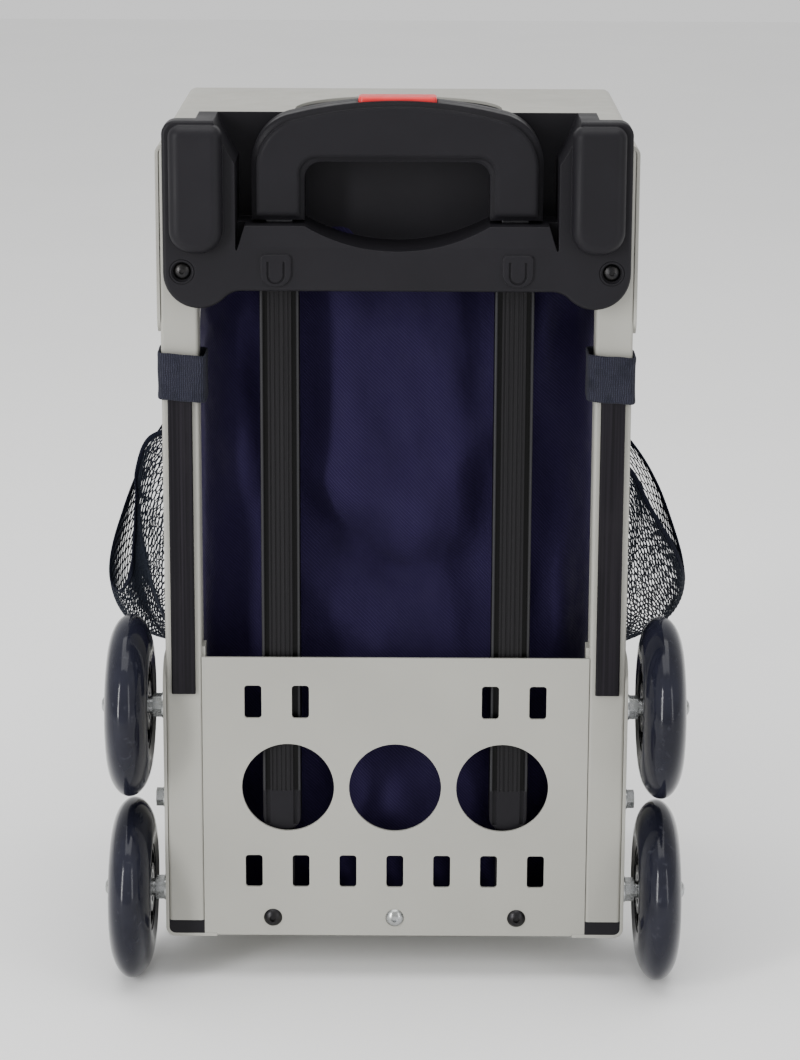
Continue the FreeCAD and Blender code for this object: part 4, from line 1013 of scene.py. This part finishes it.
# ---- straps --------------------------------------------------------------
def build_strap(name, side):
    """Webbing taken round a post as a closed band."""
    low, high = mm("strap_" + name)
    strap_x = sorted((abs(low[0]), abs(high[0])))
    x_in, x_out = strap_x[0] + 1.0, strap_x[1] - 1.0
    y_near, y_far = low[1] + 1.0, high[1] - 1.0
    corner = 3.2
    loop = []
    for cx, cy, start in ((x_out - corner, y_near + corner, 0), (x_in + corner, y_near + corner, -90),
                          (x_in + corner, y_far - corner, -180), (x_out - corner, y_far - corner, -270)):
        for step in range(5):
            angle = math.radians(start - step * 22.5)
            loop.append((cx + corner * math.cos(angle), cy + corner * math.sin(angle), 0.0))
    loop = resample(loop + loop[:1], 2.0)[:-1]
    count = len(loop)
    lengths = np.arange(count) * 2.0
    rows = 11
    points = []
    uv_of = []
    lean = 1.1 if side < 0 else -0.8
    for k in range(rows):
        v = k / (rows - 1)
        for i in range(count):
            x, y, _ = loop[i]
            z = low[2] + 0.4 + v * (high[2] - low[2] - 0.8)
            z += lean * (x - (x_in + x_out) / 2) / 14.0 + 0.5 * wrinkle((x, y, 0), (9, 9, 1), 2.2 + side)
            curl = 0.5 * (2 * v - 1) ** 4 - 0.25
            push = curl + 0.35 * wrinkle((x, y, z), (8, 8, 11), 7.7 + side)
            centre = np.array([(x_in + x_out) / 2, (y_near + y_far) / 2])
            away = np.array([x, y]) - centre
            away /= np.linalg.norm(away)
            points.append((side * (x + away[0] * push), y + away[1] * push, z))
            uv_of.append((v * 0.029, lengths[i] / 1000.0))
    faces = grid_faces(rows, count, True)
    uvs = []
    for face in faces:
        us = [uv_of[index] for index in face]
        wrap = us[1][1] < us[0][1] - 0.01
        for spot, (u, w) in enumerate(us):
            uvs.append((u, w + count * 0.002 if wrap and spot in (1, 2) else w))
    band = outward(piece("strap_band_" + name, points, faces, WEBBING, "frame", uvs))
    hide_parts("strap_" + name)
    thick = band.modifiers.new("thick", "SOLIDIFY")
    thick.thickness = 0.0016
    thick.offset = 0.0
    smooth = band.modifiers.new("smooth", "SUBSURF")
    smooth.levels = smooth.render_levels = 1


# ---- button bellows ------------------------------------------------------
def build_bellows():
    """Rubber bellows under the release rods; it moves with the grip stage."""
    low, high = mm("button_spring")
    centre = (low + high) / 2
    radius = (high[0] - low[0]) / 2
    turns, sides = 4, 28
    rows = turns * 6 + 1
    points = []
    for wall, rise in ((0.0, range(rows)), (1.1, range(rows - 1, -1, -1))):
        for step in rise:
            z = low[2] + (high[2] - low[2]) * step / (rows - 1)
            wide = radius - 0.55 - wall + 0.55 * math.sin(2 * math.pi * (step / 6.0 - 0.25))
            for k in range(sides):
                angle = 2 * math.pi * k / sides
                points.append((centre[0] + wide * math.cos(angle), centre[1] + wide * math.sin(angle), z))
    count = len(points)
    faces = [tuple(index % count for index in face) for face in grid_faces(2 * rows + 1, sides, True)]
    bellows = outward(piece("button_bellows", points, faces, FOOT_RUBBER, "grip_stage"))
    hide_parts("button_spring")
    tuple(metres([(centre[0], centre[1], low[2])])[0])
    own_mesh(bellows)


# ---- stage ---------------------------------------------------------------
def area_light(name, place, aim, size, power, colour=(1, 1, 1)):
    data = bpy.data.lights.new(name, "AREA")
    data.shape = "RECTANGLE"
    data.size, data.size_y = size
    data.energy = power
    data.color = colour
    obj = bpy.data.objects.new(name, data)
    obj.location = place
    obj.rotation_euler = (Vector(aim) - Vector(place)).to_track_quat("-Z", "Y").to_euler()
    bpy.context.scene.collection.objects.link(obj)


def build_stage():
    """Pale floor and background, two upright soft lights and one above."""
    scene = bpy.context.scene
    for obj in list(scene.objects):
        if obj.type in {"CAMERA", "LIGHT"} or obj.name == "Cube":
            bpy.data.objects.remove(obj)
    look = Look("studio_floor", (0.90, 0.90, 0.895), 0.7)
    look.tint(look.ramp(look.noise((3, 3, 3), 3.0), 0.3, 0.7), (0.88, 0.88, 0.875))
    size = 6.0
    mesh = bpy.data.meshes.new("studio_floor")
    corners = [(-size, -size, 0), (size, -size, 0), (size, size, 0), (-size, size, 0)]
    mesh.from_pydata(corners, [], [(0, 1, 2, 3)])
    mesh.materials.append(look.material)
    floor = bpy.data.objects.new("studio_floor", mesh)
    scene.collection.objects.link(floor)
    world = bpy.data.worlds.new("studio")
    world.use_nodes = True
    backdrop = world.node_tree.nodes["Background"]
    backdrop.inputs["Color"].default_value = (1.0, 1.0, 1.0, 1.0)
    backdrop.inputs["Strength"].default_value = 0.95
    scene.world = world
    middle = (0.0, 0.0, 0.27)
    area_light("strip_left", (-1.75, -1.9, 0.95), middle, (0.4, 1.7), 56.0)
    area_light("strip_right", (1.8, -1.75, 0.9), middle, (0.4, 1.7), 13.0)
    area_light("top", (0.0, -0.2, 2.7), (0.0, 0.0, 0.0), (2.4, 2.4), 60.0)


def build_camera():
    """Perspective view of the handle side from slightly above."""
    focal_px, distance, height, centre = 2991.4, 1737.3, 766.5, 7.89
    pitch, yaw, roll, shift_px = 0.2366, -0.0033, 0.0040, -90.0
    data = bpy.data.cameras.new("camera")
    data.sensor_width = 36.0
    data.lens = focal_px / 1060.0 * 36.0
    data.shift_y = shift_px / 1060.0
    data.clip_end = 50.0
    obj = bpy.data.objects.new("camera", data)
    tilt = Matrix.Rotation(math.pi / 2 - pitch, 3, "X")
    turn = Matrix.Rotation(-yaw, 3, "Z") @ tilt @ Matrix.Rotation(roll, 3, "Z")
    obj.rotation_euler = turn.to_euler()
    obj.location = (centre / 1000.0, (-distance + Y0) / 1000.0, height / 1000.0)
    bpy.context.scene.collection.objects.link(obj)
    bpy.context.scene.camera = obj


build_stage()
build_camera()
finish_nodes()
build_bag()
build_flap()
build_zips()
for name, side in SIDES:
    build_pocket(name, side)
    build_strap(name, side)
build_bellows()
